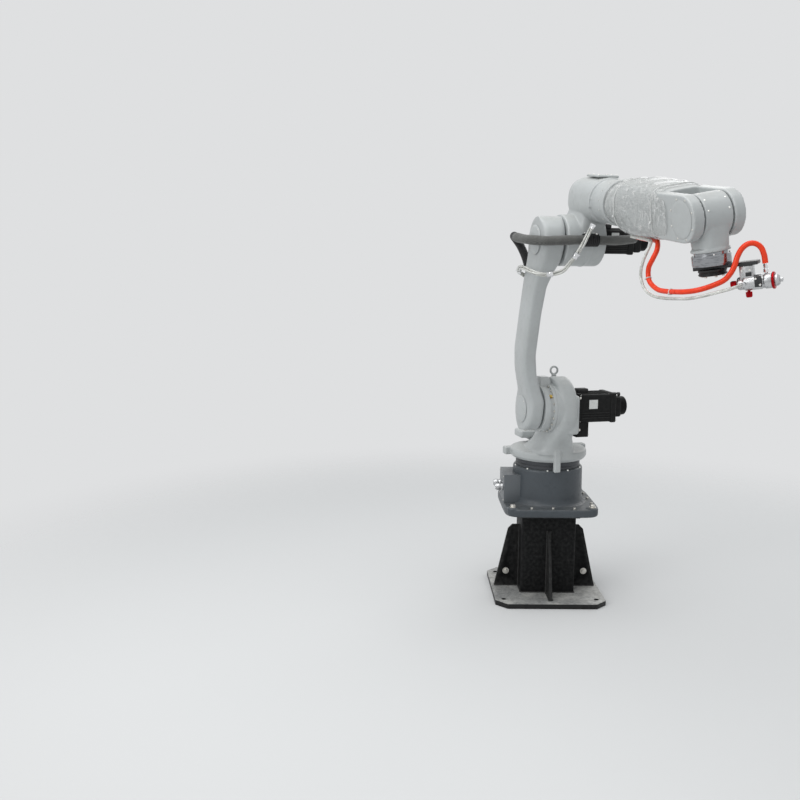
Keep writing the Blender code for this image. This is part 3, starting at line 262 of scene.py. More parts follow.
def frames_along(line, closed=False):
    """Unit vectors across and upward at each point of a line, carried along it without twist."""
    ahead = np.roll(line, -1, 0) - np.roll(line, 1, 0) if closed else np.gradient(line, axis=0)
    ahead /= np.linalg.norm(ahead, axis=1, keepdims=True)
    across = np.zeros_like(line)
    guess = np.cross(ahead[0], (0.0, 0.0, 1.0))
    if np.linalg.norm(guess) < 0.2:
        guess = np.cross(ahead[0], (1.0, 0.0, 0.0))
    for k, way in enumerate(ahead):
        guess = guess - way * (guess @ way)
        guess = guess / np.linalg.norm(guess)
        across[k] = guess
    return across, np.cross(across, ahead), ahead


def tube(line, radius, sides=16, closed=False, flat=1.0):
    """A circle of the given radius, one number, one a ring or one a point, carried along a line without
    twist. flat squeezes it across its own second axis."""
    line = np.asarray(line, dtype=float)
    across, upward, _ = frames_along(line, closed)
    angle = np.linspace(0.0, 2.0 * math.pi, sides, endpoint=False)
    reach = np.broadcast_to(np.asarray(radius, dtype=float).reshape(-1, 1) if np.ndim(radius) < 2 else radius,
                            (len(line), sides))
    spoke = across[:, None] * np.cos(angle)[None, :, None] + flat * upward[:, None] * np.sin(angle)[None, :, None]
    return skin(line[:, None] + spoke * reach[..., None], closed)


def twisted(line, count, away, turns):
    """Lines of a bundle: each keeps the distance away from the middle line and goes round it turns times."""
    across, upward, _ = frames_along(line)
    share = np.linspace(0.0, 1.0, len(line))[:, None]
    found = []
    for k in range(count):
        angle = 2.0 * math.pi * (k / count + turns * share)
        found.append(line + away * (np.cos(angle) * across + np.sin(angle) * upward))
    return found


def end_place(line, index):
    """A 4x4 at a point of a line with its z axis along the line."""
    across, upward, ahead = frames_along(line)
    made = np.eye(4)
    made[:3, :4] = np.column_stack([across[index], -upward[index], ahead[index], line[index]])
    return made


def prism(outline, low, high, axis="z"):
    """An outline drawn out along an axis."""
    outline = np.array(outline, dtype=float)
    count = len(outline)
    layers = [np.column_stack([outline, np.full(count, level)])[:, ORDER[axis]] for level in (low, high)]
    ring = np.arange(count)
    sides = np.stack([ring, np.roll(ring, -1), np.roll(ring, -1) + count, ring + count], -1).tolist()
    return np.vstack(layers), sides + [ring.tolist(), (ring + count).tolist()]


# Fasteners, each standing on z = 0

def hexagon(across_flats, sides=24):
    """Radius of a hexagon at evenly spaced angles."""
    angle = np.linspace(0.0, 2.0 * math.pi, sides, endpoint=False)
    return across_flats / 2.0 / np.cos((angle + math.pi / 6.0) % (math.pi / 3.0) - math.pi / 6.0)


def radial(rows, sides=24):
    """Rings at (radius, height), where a radius is one number or one for each angle."""
    angle = np.linspace(0.0, 2.0 * math.pi, sides, endpoint=False)
    rings = [np.stack([radius * np.cos(angle), radius * np.sin(angle), np.full(sides, height)], -1)
             for radius, height in rows]
    return skin(np.array(rings))


def cap_screw(radius):
    """A socket head cap screw's head: a cylinder with a chamfer and a hexagonal recess."""
    recess = hexagon(radius * 1.05)
    return radial([(radius, 0.0), (radius, radius * 1.05), (radius * 0.9, radius * 1.2), (recess, radius * 1.2),
                   (recess, radius * 0.6)])


def hex_head(radius):
    """A hexagon head on its washer."""
    head = hexagon(radius * 1.5)
    return radial([(radius * 1.2, 0.0), (radius * 1.2, radius * 0.22), (head, radius * 0.22), (head, radius * 0.8),
                   (head * 0.85, radius * 0.95)])


def button_head(radius):
    """A domed head with a small recess."""
    recess = hexagon(radius * 0.8)
    return radial([(radius, 0.0), (radius * 0.97, radius * 0.25), (radius * 0.75, radius * 0.5),
                   (recess, radius * 0.58), (recess, radius * 0.3)])


def circle_places(place, radius, count, height, start=0.0, span=360.0, outward=False):
    """Places evenly round the z axis of a 4x4, standing on its plane or pointing outward."""
    step = span / count if span == 360.0 else span / (count - 1)
    found = []
    for k in range(count):
        spot = place @ turn(start + k * step, "Z") @ shift(radius, 0.0, height)
        found.append(spot @ turn(90.0, "Y") if outward else spot)
    return found


Y_AXIS = turn(-90.0, "X")
MINUS_Y_AXIS = turn(90.0, "X")
X_AXIS = turn(90.0, "Y")


# Pieces

def make_mesh(name, shape, sharp_deg=32.0):
    """A mesh object from points and faces, its doubles merged and its faces turned outward."""
    points, faces = shape
    mesh = bpy.data.meshes.new(name)
    mesh.from_pydata(points.tolist(), [], faces)
    work = bmesh.new()
    work.from_mesh(mesh)
    bmesh.ops.remove_doubles(work, verts=work.verts, dist=1e-6)
    bmesh.ops.recalc_face_normals(work, faces=work.faces)
    work.to_mesh(mesh)
    work.free()
    mesh.shade_smooth()
    mesh.set_sharp_from_angle(angle=math.radians(sharp_deg))
    thing = bpy.data.objects.new(name, mesh)
    bpy.context.scene.collection.objects.link(thing)
    return thing


def settle(thing, finish, body, nodes=()):
    """Give a piece its finish, its body and the nodes that it stands for."""
    thing.data.materials.clear()
    thing.data.materials.append(FINISHES[finish])
    if body:
        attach(thing, body)
    if nodes:
        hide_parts(*nodes)
    return thing


def piece(name, shape, finish, body, *nodes, sharp_deg=32.0):
    """A finished piece from a shape."""
    return settle(make_mesh(name, shape, sharp_deg), finish, body, nodes)


def applied(thing):
    """The object's mesh with its modifiers worked in."""
    bpy.context.view_layer.update()
    graph = bpy.context.evaluated_depsgraph_get()
    mesh = bpy.data.meshes.new_from_object(thing.evaluated_get(graph))
    thing.modifiers.clear()
    thing.data = mesh
    return thing


def casting(name, shapes, finish, body, *nodes, voxel=0.0035, passes=6):
    """A casting: closed shapes fused into one skin on a fine grid, with its joints eased into fillets."""
    thing = make_mesh(name, joined(*shapes))
    remesh = thing.modifiers.new("fuse", "REMESH")
    remesh.mode = "VOXEL"
    remesh.voxel_size = voxel
    soften = thing.modifiers.new("soften", "SMOOTH")
    soften.factor = 0.5
    soften.iterations = passes
    applied(thing)
    thing.data.shade_smooth()
    return settle(thing, finish, body, nodes)


def trimmed(name, node, finish, body, width=0.002, sharp_deg=40.0):
    """A merged copy of a CAD node with its edges rounded."""
    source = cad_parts[node]
    work = bmesh.new()
    work.from_mesh(source.data)
    bmesh.ops.transform(work, matrix=source.matrix_world, verts=work.verts)
    bmesh.ops.remove_doubles(work, verts=work.verts, dist=2e-5)
    bmesh.ops.dissolve_limit(work, angle_limit=math.radians(1.0), verts=work.verts, edges=work.edges)
    sharp = [edge for edge in work.edges if edge.is_manifold and edge.calc_face_angle(0.0) > math.radians(30.0)]
    bmesh.ops.bevel(work, geom=sharp, offset=width, segments=3, profile=0.5, affect="EDGES", clamp_overlap=True)
    mesh = bpy.data.meshes.new(name)
    work.to_mesh(mesh)
    work.free()
    mesh.shade_smooth()
    mesh.set_sharp_from_angle(angle=math.radians(sharp_deg))
    thing = bpy.data.objects.new(name, mesh)
    bpy.context.scene.collection.objects.link(thing)
    return settle(thing, finish, body, (node,))


# Materials

def srgb(red, green, blue):
    """A colour written as 0 to 255, as the linear colour that shaders take."""
    share = np.array([red, green, blue]) / 255.0
    linear = np.where(share <= 0.04045, share / 12.92, ((share + 0.055) / 1.055) ** 2.4)
    return (*linear.tolist(), 1.0)


def add(tree, kind, values=None, **settings):
    """A node with its settings and its unlinked values."""
    made = tree.nodes.new(kind)
    for key, value in settings.items():
        setattr(made, key, value)
    for key, value in (values or {}).items():
        made.inputs[key].default_value = value
    return made


def group(name, inputs, outputs):
    """An empty node group with its sockets; it comes back with its own input and output nodes."""
    tree = bpy.data.node_groups.new(name, "ShaderNodeTree")
    for label, kind, value in inputs:
        socket = tree.interface.new_socket(name=label, in_out="INPUT", socket_type=kind)
        if value is not None:
            socket.default_value = value
    for label, kind in outputs:
        tree.interface.new_socket(name=label, in_out="OUTPUT", socket_type=kind)
    return tree, tree.nodes.new("NodeGroupInput"), tree.nodes.new("NodeGroupOutput")


def mottle_group():
    """Patches: noise at a scale, cut to a mask between two levels."""
    tree, given, made = group("patches", [("Vector", "NodeSocketVector", None), ("Scale", "NodeSocketFloat", 8.0),
                                          ("Low", "NodeSocketFloat", 0.45), ("High", "NodeSocketFloat", 0.7)],
                              [("Mask", "NodeSocketFloat")])
    noise = add(tree, "ShaderNodeTexNoise", {"Detail": 6.0, "Roughness": 0.62, "Distortion": 0.4})
    level = add(tree, "ShaderNodeMapRange", interpolation_type="SMOOTHSTEP")
    tree.links.new(given.outputs["Vector"], noise.inputs["Vector"])
    tree.links.new(given.outputs["Scale"], noise.inputs["Scale"])
    tree.links.new(noise.outputs["Fac"], level.inputs["Value"])
    tree.links.new(given.outputs["Low"], level.inputs["From Min"])
    tree.links.new(given.outputs["High"], level.inputs["From Max"])
    tree.links.new(level.outputs["Result"], made.inputs["Mask"])
    return tree


def edge_group():
    """Lighter edges: convex ridges found from the mesh's own pointiness, broken up by noise; they stand for wear, and
    on the black pedestal also for painted highlights along its edges.
    """
    tree, given, made = group("edge_wear_and_highlight", [("Vector", "NodeSocketVector", None), ("Scale", "NodeSocketFloat", 60.0),
                                             ("Reach", "NodeSocketFloat", 0.54)], [("Mask", "NodeSocketFloat")])
    shape = add(tree, "ShaderNodeNewGeometry")
    noise = add(tree, "ShaderNodeTexNoise", {"Detail": 4.0})
    spread = add(tree, "ShaderNodeMath", {1: 0.06}, operation="MULTIPLY_ADD")
    level = add(tree, "ShaderNodeMapRange", {"From Max": 0.62}, interpolation_type="SMOOTHSTEP")
    tree.links.new(given.outputs["Vector"], noise.inputs["Vector"])
    tree.links.new(given.outputs["Scale"], noise.inputs["Scale"])
    tree.links.new(noise.outputs["Fac"], spread.inputs[0])
    tree.links.new(shape.outputs["Pointiness"], spread.inputs[2])
    tree.links.new(spread.outputs["Value"], level.inputs["Value"])
    tree.links.new(given.outputs["Reach"], level.inputs["From Min"])
    tree.links.new(level.outputs["Result"], made.inputs["Mask"])
    return tree


def bump_group():
    """Fine relief: noise at a scale made into a normal."""
    tree, given, made = group("fine_relief", [("Vector", "NodeSocketVector", None), ("Scale", "NodeSocketFloat", 400.0),
                                              ("Strength", "NodeSocketFloat", 0.2),
                                              ("Depth", "NodeSocketFloat", 0.0004)],
                              [("Normal", "NodeSocketVector")])
    noise = add(tree, "ShaderNodeTexNoise", {"Detail": 3.0, "Roughness": 0.5})
    bump = add(tree, "ShaderNodeBump")
    tree.links.new(given.outputs["Vector"], noise.inputs["Vector"])
    tree.links.new(given.outputs["Scale"], noise.inputs["Scale"])
    tree.links.new(noise.outputs["Fac"], bump.inputs["Height"])
    tree.links.new(given.outputs["Strength"], bump.inputs["Strength"])
    tree.links.new(given.outputs["Depth"], bump.inputs["Distance"])
    tree.links.new(bump.outputs["Normal"], made.inputs["Normal"])
    return tree


def dust_group():
    """Dust: where the surface looks up, broken up by noise."""
    tree, given, made = group("settled_dust",
                              [("Vector", "NodeSocketVector", None), ("Scale", "NodeSocketFloat", 25.0)],
                              [("Mask", "NodeSocketFloat")])
    shape = add(tree, "ShaderNodeNewGeometry")
    apart = add(tree, "ShaderNodeSeparateXYZ")
    upward = add(tree, "ShaderNodeMapRange", {"From Min": 0.55, "From Max": 1.0}, interpolation_type="SMOOTHSTEP")
    noise = add(tree, "ShaderNodeTexNoise", {"Detail": 5.0})
    both = add(tree, "ShaderNodeMath", operation="MULTIPLY")
    tree.links.new(shape.outputs["Normal"], apart.inputs["Vector"])
    tree.links.new(apart.outputs["Z"], upward.inputs["Value"])
    tree.links.new(given.outputs["Vector"], noise.inputs["Vector"])
    tree.links.new(given.outputs["Scale"], noise.inputs["Scale"])
    tree.links.new(upward.outputs["Result"], both.inputs[0])
    tree.links.new(noise.outputs["Fac"], both.inputs[1])
    tree.links.new(both.outputs["Value"], made.inputs["Mask"])
    return tree


def crease_group():
    """Thin lines where the film is creased, which it paints whiter both as milky film and as painted highlights: where
    a bent noise passes its middle value, so that |n - 0.5| is small.
    """
    tree, given, made = group("crease_glint_lines", [("Vector", "NodeSocketVector", None), ("Scale", "NodeSocketFloat", 14.0),
                                          ("Width", "NodeSocketFloat", 0.02)], [("Mask", "NodeSocketFloat")])
    noise = add(tree, "ShaderNodeTexNoise", {"Detail": 1.5, "Distortion": 1.2})
    away = add(tree, "ShaderNodeMath", {1: 0.5}, operation="SUBTRACT")
    size = add(tree, "ShaderNodeMath", operation="ABSOLUTE")
    level = add(tree, "ShaderNodeMapRange", {"From Min": 0.0, "To Min": 1.0, "To Max": 0.0},
                interpolation_type="SMOOTHSTEP")
    tree.links.new(given.outputs["Vector"], noise.inputs["Vector"])
    tree.links.new(given.outputs["Scale"], noise.inputs["Scale"])
    tree.links.new(noise.outputs["Fac"], away.inputs[0])
    tree.links.new(away.outputs["Value"], size.inputs[0])
    tree.links.new(size.outputs["Value"], level.inputs["Value"])
    tree.links.new(given.outputs["Width"], level.inputs["From Max"])
    tree.links.new(level.outputs["Result"], made.inputs["Mask"])
    return tree


class Finish:
    """One material being built: its tree, its shader and the vector that its patterns read."""

    def __init__(self, name, plain):
        self.made = bpy.data.materials.new(name)
        self.made.use_nodes = True
        self.tree = self.made.node_tree
        self.shader = self.tree.nodes["Principled BSDF"]
        for key, value in plain.items():
            self.shader.inputs[key].default_value = value
        self.vector = add(self.tree, "ShaderNodeTexCoord").outputs["Object"]

    def link(self, out, into):
        """Join two sockets."""
        self.tree.links.new(out, into)

    def effect(self, name, values):
        """A shared effect reading the pattern vector, as its only output."""
        placed = add(self.tree, "ShaderNodeGroup", node_tree=GROUPS[name])
        for key, value in values.items():
            placed.inputs[key].default_value = value
        self.link(self.vector, placed.inputs["Vector"])
        return placed.outputs[0]

    def blend(self, mask, base, other, most=1.0):
        """A colour between base and other, each a colour or a socket, by a mask up to most."""
        scale = add(self.tree, "ShaderNodeMath", {1: most}, operation="MULTIPLY")
        self.link(mask, scale.inputs[0])
        mix = add(self.tree, "ShaderNodeMix", data_type="RGBA")
        self.link(scale.outputs["Value"], mix.inputs["Factor"])
        for value, socket in ((base, mix.inputs[6]), (other, mix.inputs[7])):
            if isinstance(value, tuple):
                socket.default_value = value
            else:
                self.link(value, socket)
        return mix.outputs[2]

    def range(self, mask, low, high):
        """A number from low to high by a mask."""
        spread = add(self.tree, "ShaderNodeMapRange", {"To Min": low, "To Max": high})
        self.link(mask, spread.inputs["Value"])
        return spread.outputs["Result"]

    def colour(self, out):
        """Feed the base colour."""
        self.link(out, self.shader.inputs["Base Color"])

    def rough(self, out):
        """Feed the roughness."""
        self.link(out, self.shader.inputs["Roughness"])

    def normal(self, out):
        """Feed the normal."""
        self.link(out, self.shader.inputs["Normal"])


def enamel(name, paint, grime, bare_and_lit_edge, roughness=0.38, grime_most=0.35, wear_and_highlight_most=0.5, dust=0.25, relief=0.12,
           shine=0.45, coat=0.15):
    """Sprayed enamel: slight orange peel, faint patches, grime, dust on top and lighter edges, which are wear and, on
    the black pedestal, also painted highlight.
    """
    made = Finish(name, {"Specular IOR Level": shine, "Coat Weight": coat, "Coat Roughness": 0.2})
    patches = made.effect("patches", {"Scale": 5.0, "Low": 0.4, "High": 0.75})
    fine = made.effect("patches", {"Scale": 55.0, "Low": 0.5, "High": 0.68})
    worn_and_lit_edges = made.effect("edge_wear_and_highlight", {"Scale": 70.0})
    top = made.effect("settled_dust", {"Scale": 30.0})
    tone = made.blend(patches, paint, grime, grime_most)
    tone = made.blend(fine, tone, grime, grime_most * 0.4)
    tone = made.blend(top, tone, srgb(196, 192, 182), dust)
    made.colour(made.blend(worn_and_lit_edges, tone, bare_and_lit_edge, wear_and_highlight_most))
    made.rough(made.range(fine, roughness, roughness + 0.16))
    made.normal(made.effect("fine_relief", {"Scale": 320.0, "Strength": relief, "Depth": 0.0005}))
    return made.made


def worn_plate():
    """The floor plate: bare rolled steel on top with dark scuffs and pale dust, black on its edges."""
    made = Finish("worn_plate", {"Metallic": 0.0, "Specular IOR Level": 0.4})
    broad = made.effect("patches", {"Scale": 7.0, "Low": 0.38, "High": 0.62})
    small = made.effect("patches", {"Scale": 48.0, "Low": 0.42, "High": 0.66})
    scuff = made.effect("patches", {"Scale": 160.0, "Low": 0.5, "High": 0.7})
    top = made.effect("settled_dust", {"Scale": 12.0})
    tone = made.blend(broad, srgb(134, 135, 134), srgb(180, 180, 176), 0.9)
    tone = made.blend(small, tone, srgb(86, 86, 85), 0.42)
    tone = made.blend(scuff, tone, srgb(198, 197, 192), 0.35)
    upward = add(made.tree, "ShaderNodeMapRange", {"From Max": 0.12})
    made.link(top, upward.inputs["Value"])
    made.colour(made.blend(upward.outputs["Result"], srgb(12, 12, 13), tone, 1.0))
    made.rough(made.range(small, 0.42, 0.75))
    made.normal(made.effect("fine_relief", {"Scale": 150.0, "Strength": 0.35, "Depth": 0.0006}))
    return made.made


def metal(name, tone, dark, roughness, scale=(1.0, 1.0, 1.0), grain=260.0, relief=0.08):
    """Bare metal with fine machining grain, stretched along one axis, and darker patches: faint tarnish, and on the
    aluminium adapter painted reflection of dark surroundings in bands.
    """
    made = Finish(name, {"Metallic": 1.0})
    stretch = add(made.tree, "ShaderNodeMapping", {"Scale": scale})
    made.link(made.vector, stretch.inputs["Vector"])
    made.vector = stretch.outputs["Vector"]
    tarnish_and_reflection = made.effect("patches", {"Scale": 40.0, "Low": 0.45, "High": 0.7})
    lines = made.effect("patches", {"Scale": grain, "Low": 0.35, "High": 0.65})
    made.colour(made.blend(tarnish_and_reflection, tone, dark, 0.5))
    made.rough(made.range(lines, roughness, roughness + 0.14))
    made.normal(made.effect("fine_relief", {"Scale": grain, "Strength": relief, "Depth": 0.0003}))
    return made.made


def plastic(name, tone, dark, roughness, relief=0.05, plain=None, grain=90.0):
    """Moulded plastic or rubber: even colour, faint smudges."""
    made = Finish(name, plain or {})
    smudge = made.effect("patches", {"Scale": grain, "Low": 0.45, "High": 0.7})
    made.colour(made.blend(smudge, tone, dark, 0.5))
    made.rough(made.range(smudge, roughness, roughness + 0.15))
    made.normal(made.effect("fine_relief", {"Scale": 500.0, "Strength": relief, "Depth": 0.0004}))
    return made.made


def clear_tube():
    """Clear plastic tubing: bright and glossy, a little milky in patches."""
    made = Finish("clear_tube", {"Transmission Weight": 0.35, "IOR": 1.35, "Specular IOR Level": 0.9,
                                 "Coat Weight": 1.0, "Coat Roughness": 0.04})
    haze = made.effect("patches", {"Scale": 45.0, "Low": 0.35, "High": 0.7})
    made.colour(made.blend(haze, srgb(226, 227, 222), srgb(172, 173, 166), 0.85))
    made.rough(made.range(haze, 0.05, 0.2))
    made.normal(made.effect("fine_relief", {"Scale": 70.0, "Strength": 0.12, "Depth": 0.001}))
    return made.made


def woven_sleeve():
    """Woven hose sleeve: two crossed wave patterns with rubbed parts, and black moulded hose over its first
    quarter, by the along attribute."""
    made = Finish("woven_sleeve", {"Sheen Weight": 0.2, "Sheen Roughness": 0.5, "Specular IOR Level": 0.35})
    strands = add(made.tree, "ShaderNodeTexWave", {"Scale": 95.0, "Distortion": 1.5, "Detail": 2.0},
                  wave_type="BANDS", bands_direction="DIAGONAL")
    across = add(made.tree, "ShaderNodeTexWave", {"Scale": 110.0, "Distortion": 1.0, "Detail": 1.0},
                 wave_type="BANDS", bands_direction="Z")
    weave = add(made.tree, "ShaderNodeMath", operation="MULTIPLY")
    made.link(made.vector, strands.inputs["Vector"])
    made.link(made.vector, across.inputs["Vector"])
    made.link(strands.outputs["Fac"], weave.inputs[0])
    made.link(across.outputs["Fac"], weave.inputs[1])
    rubbed = made.effect("patches", {"Scale": 18.0, "Low": 0.4, "High": 0.7})
    tone = made.blend(weave.outputs["Value"], srgb(74, 75, 73), srgb(118, 119, 115), 0.9)
    tone = made.blend(rubbed, tone, srgb(66, 66, 64), 0.5)
    along = add(made.tree, "ShaderNodeAttribute", attribute_name="along")
    rear = add(made.tree, "ShaderNodeMapRange", {"From Min": 0.26, "From Max": 0.29, "To Min": 1.0, "To Max": 0.0})
    made.link(along.outputs["Fac"], rear.inputs["Value"])
    made.colour(made.blend(rear.outputs["Result"], tone, srgb(20, 21, 22)))
    made.rough(made.range(rubbed, 0.55, 0.8))
    bump = add(made.tree, "ShaderNodeBump", {"Strength": 0.6, "Distance": 0.0012})
    made.link(weave.outputs["Value"], bump.inputs["Height"])
    made.normal(bump.outputs["Normal"])
    return made.made


def wrap_film():
    """Clear wrapping film: see-through and glossy, whiter and more opaque only along thin lines where it is creased;
    these stand for the creased film's milkiness and are also painted highlights along the folds.
    """
    made = Finish("wrap_film", {"Specular IOR Level": 1.0, "IOR": 1.5, "Coat Weight": 1.0, "Coat Roughness": 0.04})
    coarse = made.effect("crease_glint_lines", {"Scale": 11.0, "Width": 0.012})
    fine = made.effect("crease_glint_lines", {"Scale": 31.0, "Width": 0.02})
    both = add(made.tree, "ShaderNodeMath", operation="MAXIMUM")
    made.link(coarse, both.inputs[0])
    made.link(fine, both.inputs[1])
    crease_and_glint = both.outputs["Value"]
    # Whiter colour (232, 233, 231) and more cover along these lines: painted highlight along the film's folds, together
    # with the creased film's own milkiness.
    made.colour(made.blend(crease_and_glint, srgb(196, 198, 196), srgb(232, 233, 231)))
    made.link(made.range(crease_and_glint, 0.16, 0.5), made.shader.inputs["Alpha"])
    made.rough(made.range(crease_and_glint, 0.05, 0.2))
    made.normal(made.effect("fine_relief", {"Scale": 22.0, "Strength": 0.7, "Depth": 0.004}))
    return made.made


def floor_finish():
    """Plain pale floor, one colour round the arm, thinning out to nothing between 1.7 and 3.6 m from it."""
    made = Finish("pale_floor", {"Base Color": srgb(216, 217, 217), "Specular IOR Level": 0.1, "Roughness": 0.8})
    apart = add(made.tree, "ShaderNodeVectorMath", operation="LENGTH")
    fade = add(made.tree, "ShaderNodeMapRange", {"From Min": 1.7, "From Max": 3.6, "To Min": 1.0, "To Max": 0.0},
               interpolation_type="SMOOTHSTEP")
    made.link(made.vector, apart.inputs[0])
    made.link(apart.outputs["Value"], fade.inputs["Value"])
    made.link(fade.outputs["Result"], made.shader.inputs["Alpha"])
    return made.made


GROUPS = {"patches": mottle_group(), "edge_wear_and_highlight": edge_group(), "fine_relief": bump_group(),
          "settled_dust": dust_group(), "crease_glint_lines": crease_group()}
FINISHES = {
    "casting_grey": enamel("casting_grey", srgb(176, 180, 180), srgb(152, 154, 152), srgb(205, 207, 206)),
    "base_grey": enamel("base_grey", srgb(66, 72, 77), srgb(50, 54, 58), srgb(112, 116, 119), dust=0.12, coat=0.0),
    "ring_grey": enamel("ring_grey", srgb(58, 61, 65), srgb(44, 45, 47), srgb(96, 98, 100), 0.45, coat=0.0),
    # The pedestal's pale edge colour (92, 92, 91) is painted highlight along the column, gusset and weld bead edges,
    # together with edge wear.
    "pedestal_black": enamel("pedestal_black", srgb(9, 10, 11), srgb(15, 15, 16), srgb(92, 92, 91), 0.5, 0.2,
                             dust=0.02, shine=0.1, coat=0.0),
    "plate_bare": worn_plate(),
    "motor_black": enamel("motor_black", srgb(8, 9, 9), srgb(16, 16, 16), srgb(58, 58, 58), 0.45, dust=0.02,
                          relief=0.2, shine=0.12, coat=0.0),
    "chrome": metal("chrome", srgb(232, 233, 234), srgb(176, 178, 180), 0.08, grain=120.0, relief=0.03),
    "bright_zinc": metal("bright_zinc", srgb(236, 236, 232), srgb(196, 195, 190), 0.3),
    "steel": metal("steel", srgb(206, 207, 208), srgb(140, 140, 140), 0.2),
    "zinc": metal("zinc", srgb(214, 212, 206), srgb(158, 155, 148), 0.28),
    "brass": metal("brass", srgb(206, 178, 96), srgb(150, 122, 60), 0.25),
    # The adapter's dark tone (70, 72, 76), stretched into bands, is painted reflection of dark surroundings rather than
    # tarnish.
    "aluminium": metal("aluminium", srgb(158, 160, 163), srgb(70, 72, 76), 0.1, (1.0, 1.0, 6.0)),
    "gun_silver": metal("gun_silver", srgb(196, 197, 198), srgb(120, 121, 122), 0.26),
    "tool_black": enamel("tool_black", srgb(18, 19, 21), srgb(34, 34, 35), srgb(90, 91, 93), dust=0.05, shine=0.35,
                         coat=0.0),
    "red_anodised": metal("red_anodised", srgb(168, 22, 28), srgb(96, 10, 14), 0.22),
    "orange_hose": plastic("orange_hose", srgb(238, 62, 20), srgb(208, 46, 14), 0.32, 0.04,
                           {"Coat Weight": 0.12, "Coat Roughness": 0.1, "Specular IOR Level": 0.3}),
    "clear_hose": clear_tube(),
    "sleeve": woven_sleeve(),
    "seal_grey": plastic("seal_grey", srgb(132, 134, 133), srgb(112, 113, 112), 0.5),
    "rubber": plastic("rubber", srgb(16, 16, 17), srgb(30, 30, 30), 0.5, 0.2),
    "film": wrap_film(),
    "blank_white": plastic("blank_white", srgb(214, 216, 214), srgb(190, 192, 190), 0.35),
    "pale_floor": floor_finish(),
}


# Camera, floor and light

def camera():
    """The photograph's camera: level line of sight lowered a little, with a slight roll."""
    data = bpy.data.cameras.new("photo_camera")
    data.lens = CAMERA_LENS
    data.sensor_width = 36.0
    data.clip_end = 100.0
    thing = bpy.data.objects.new("photo_camera", data)
    bpy.context.scene.collection.objects.link(thing)
    down = math.radians(CAMERA_DOWN_DEG)
    roll = math.radians(CAMERA_ROLL_DEG)
    ahead = np.array([0.0, math.cos(down), -math.sin(down)])
    upward = np.array([0.0, math.sin(down), math.cos(down)])
    right = np.array([1.0, 0.0, 0.0])
    rolled_right = right * math.cos(roll) + upward * math.sin(roll)
    rolled_up = upward * math.cos(roll) - right * math.sin(roll)
    place = np.eye(4)
    place[:3, :4] = np.column_stack([rolled_right, rolled_up, -ahead, CAMERA_PLACE])
    thing.matrix_world = Matrix(place.tolist())
    bpy.context.scene.camera = thing


def studio():
    """Pale floor, a broad soft lamp overhead, one from the camera's left and a faint one behind. What the
    camera, a reflection or a see-through piece sees past the floor is one even pale colour."""
    floor = make_mesh("studio_floor", (np.array([(-30.0, -30.0, 0.0), (30.0, -30.0, 0.0), (30.0, 30.0, 0.0),
                                                 (-30.0, 30.0, 0.0)]) - (0.0, 0.0, 0.0005), [[0, 1, 2, 3]]))
    floor.data.materials.append(FINISHES["pale_floor"])
    for name, place, aim, size, power in (
            ("lamp_overhead", (-0.6, -1.2, 4.6), (0.1, -0.4, 1.0), 4.0, 100.0),
            ("lamp_left", (-4.2, -3.2, 2.8), (0.0, -0.4, 1.0), 2.6, 66.0),
            ("lamp_behind", (2.8, 3.4, 3.4), (0.0, -0.3, 1.0), 3.0, 36.0)):
        data = bpy.data.lights.new(name, "AREA")
        data.size = size
        data.energy = power
        lamp = bpy.data.objects.new(name, data)
        bpy.context.scene.collection.objects.link(lamp)
        way = Matrix.Translation(place)
        aimed = (Matrix.Translation(aim).translation - way.translation).to_track_quat("-Z", "Y")
        lamp.matrix_world = way @ aimed.to_matrix().to_4x4()
    world = bpy.data.worlds.new("studio_world")
    world.use_nodes = True
    tree = world.node_tree
    lit = tree.nodes["Background"]
    lit.inputs["Color"].default_value = srgb(228, 230, 232)
    lit.inputs["Strength"].default_value = 0.74
    seen = add(tree, "ShaderNodeBackground", {"Color": srgb(223, 224, 225), "Strength": 1.0})
    path = add(tree, "ShaderNodeLightPath")
    direct = add(tree, "ShaderNodeMath", operation="ADD")
    through = add(tree, "ShaderNodeMath", operation="ADD")
    either = add(tree, "ShaderNodeMixShader")
    tree.links.new(path.outputs["Is Camera Ray"], direct.inputs[0])
    tree.links.new(path.outputs["Is Glossy Ray"], direct.inputs[1])
    tree.links.new(direct.outputs["Value"], through.inputs[0])
    tree.links.new(path.outputs["Is Transmission Ray"], through.inputs[1])
    tree.links.new(through.outputs["Value"], either.inputs["Fac"])
    tree.links.new(lit.outputs["Background"], either.inputs[1])
    tree.links.new(seen.outputs["Background"], either.inputs[2])
    tree.links.new(either.outputs["Shader"], tree.nodes["World Output"].inputs["Surface"])
    bpy.context.scene.world = world
    bpy.context.scene.view_settings.view_transform = "Standard"


# Pedestal and base

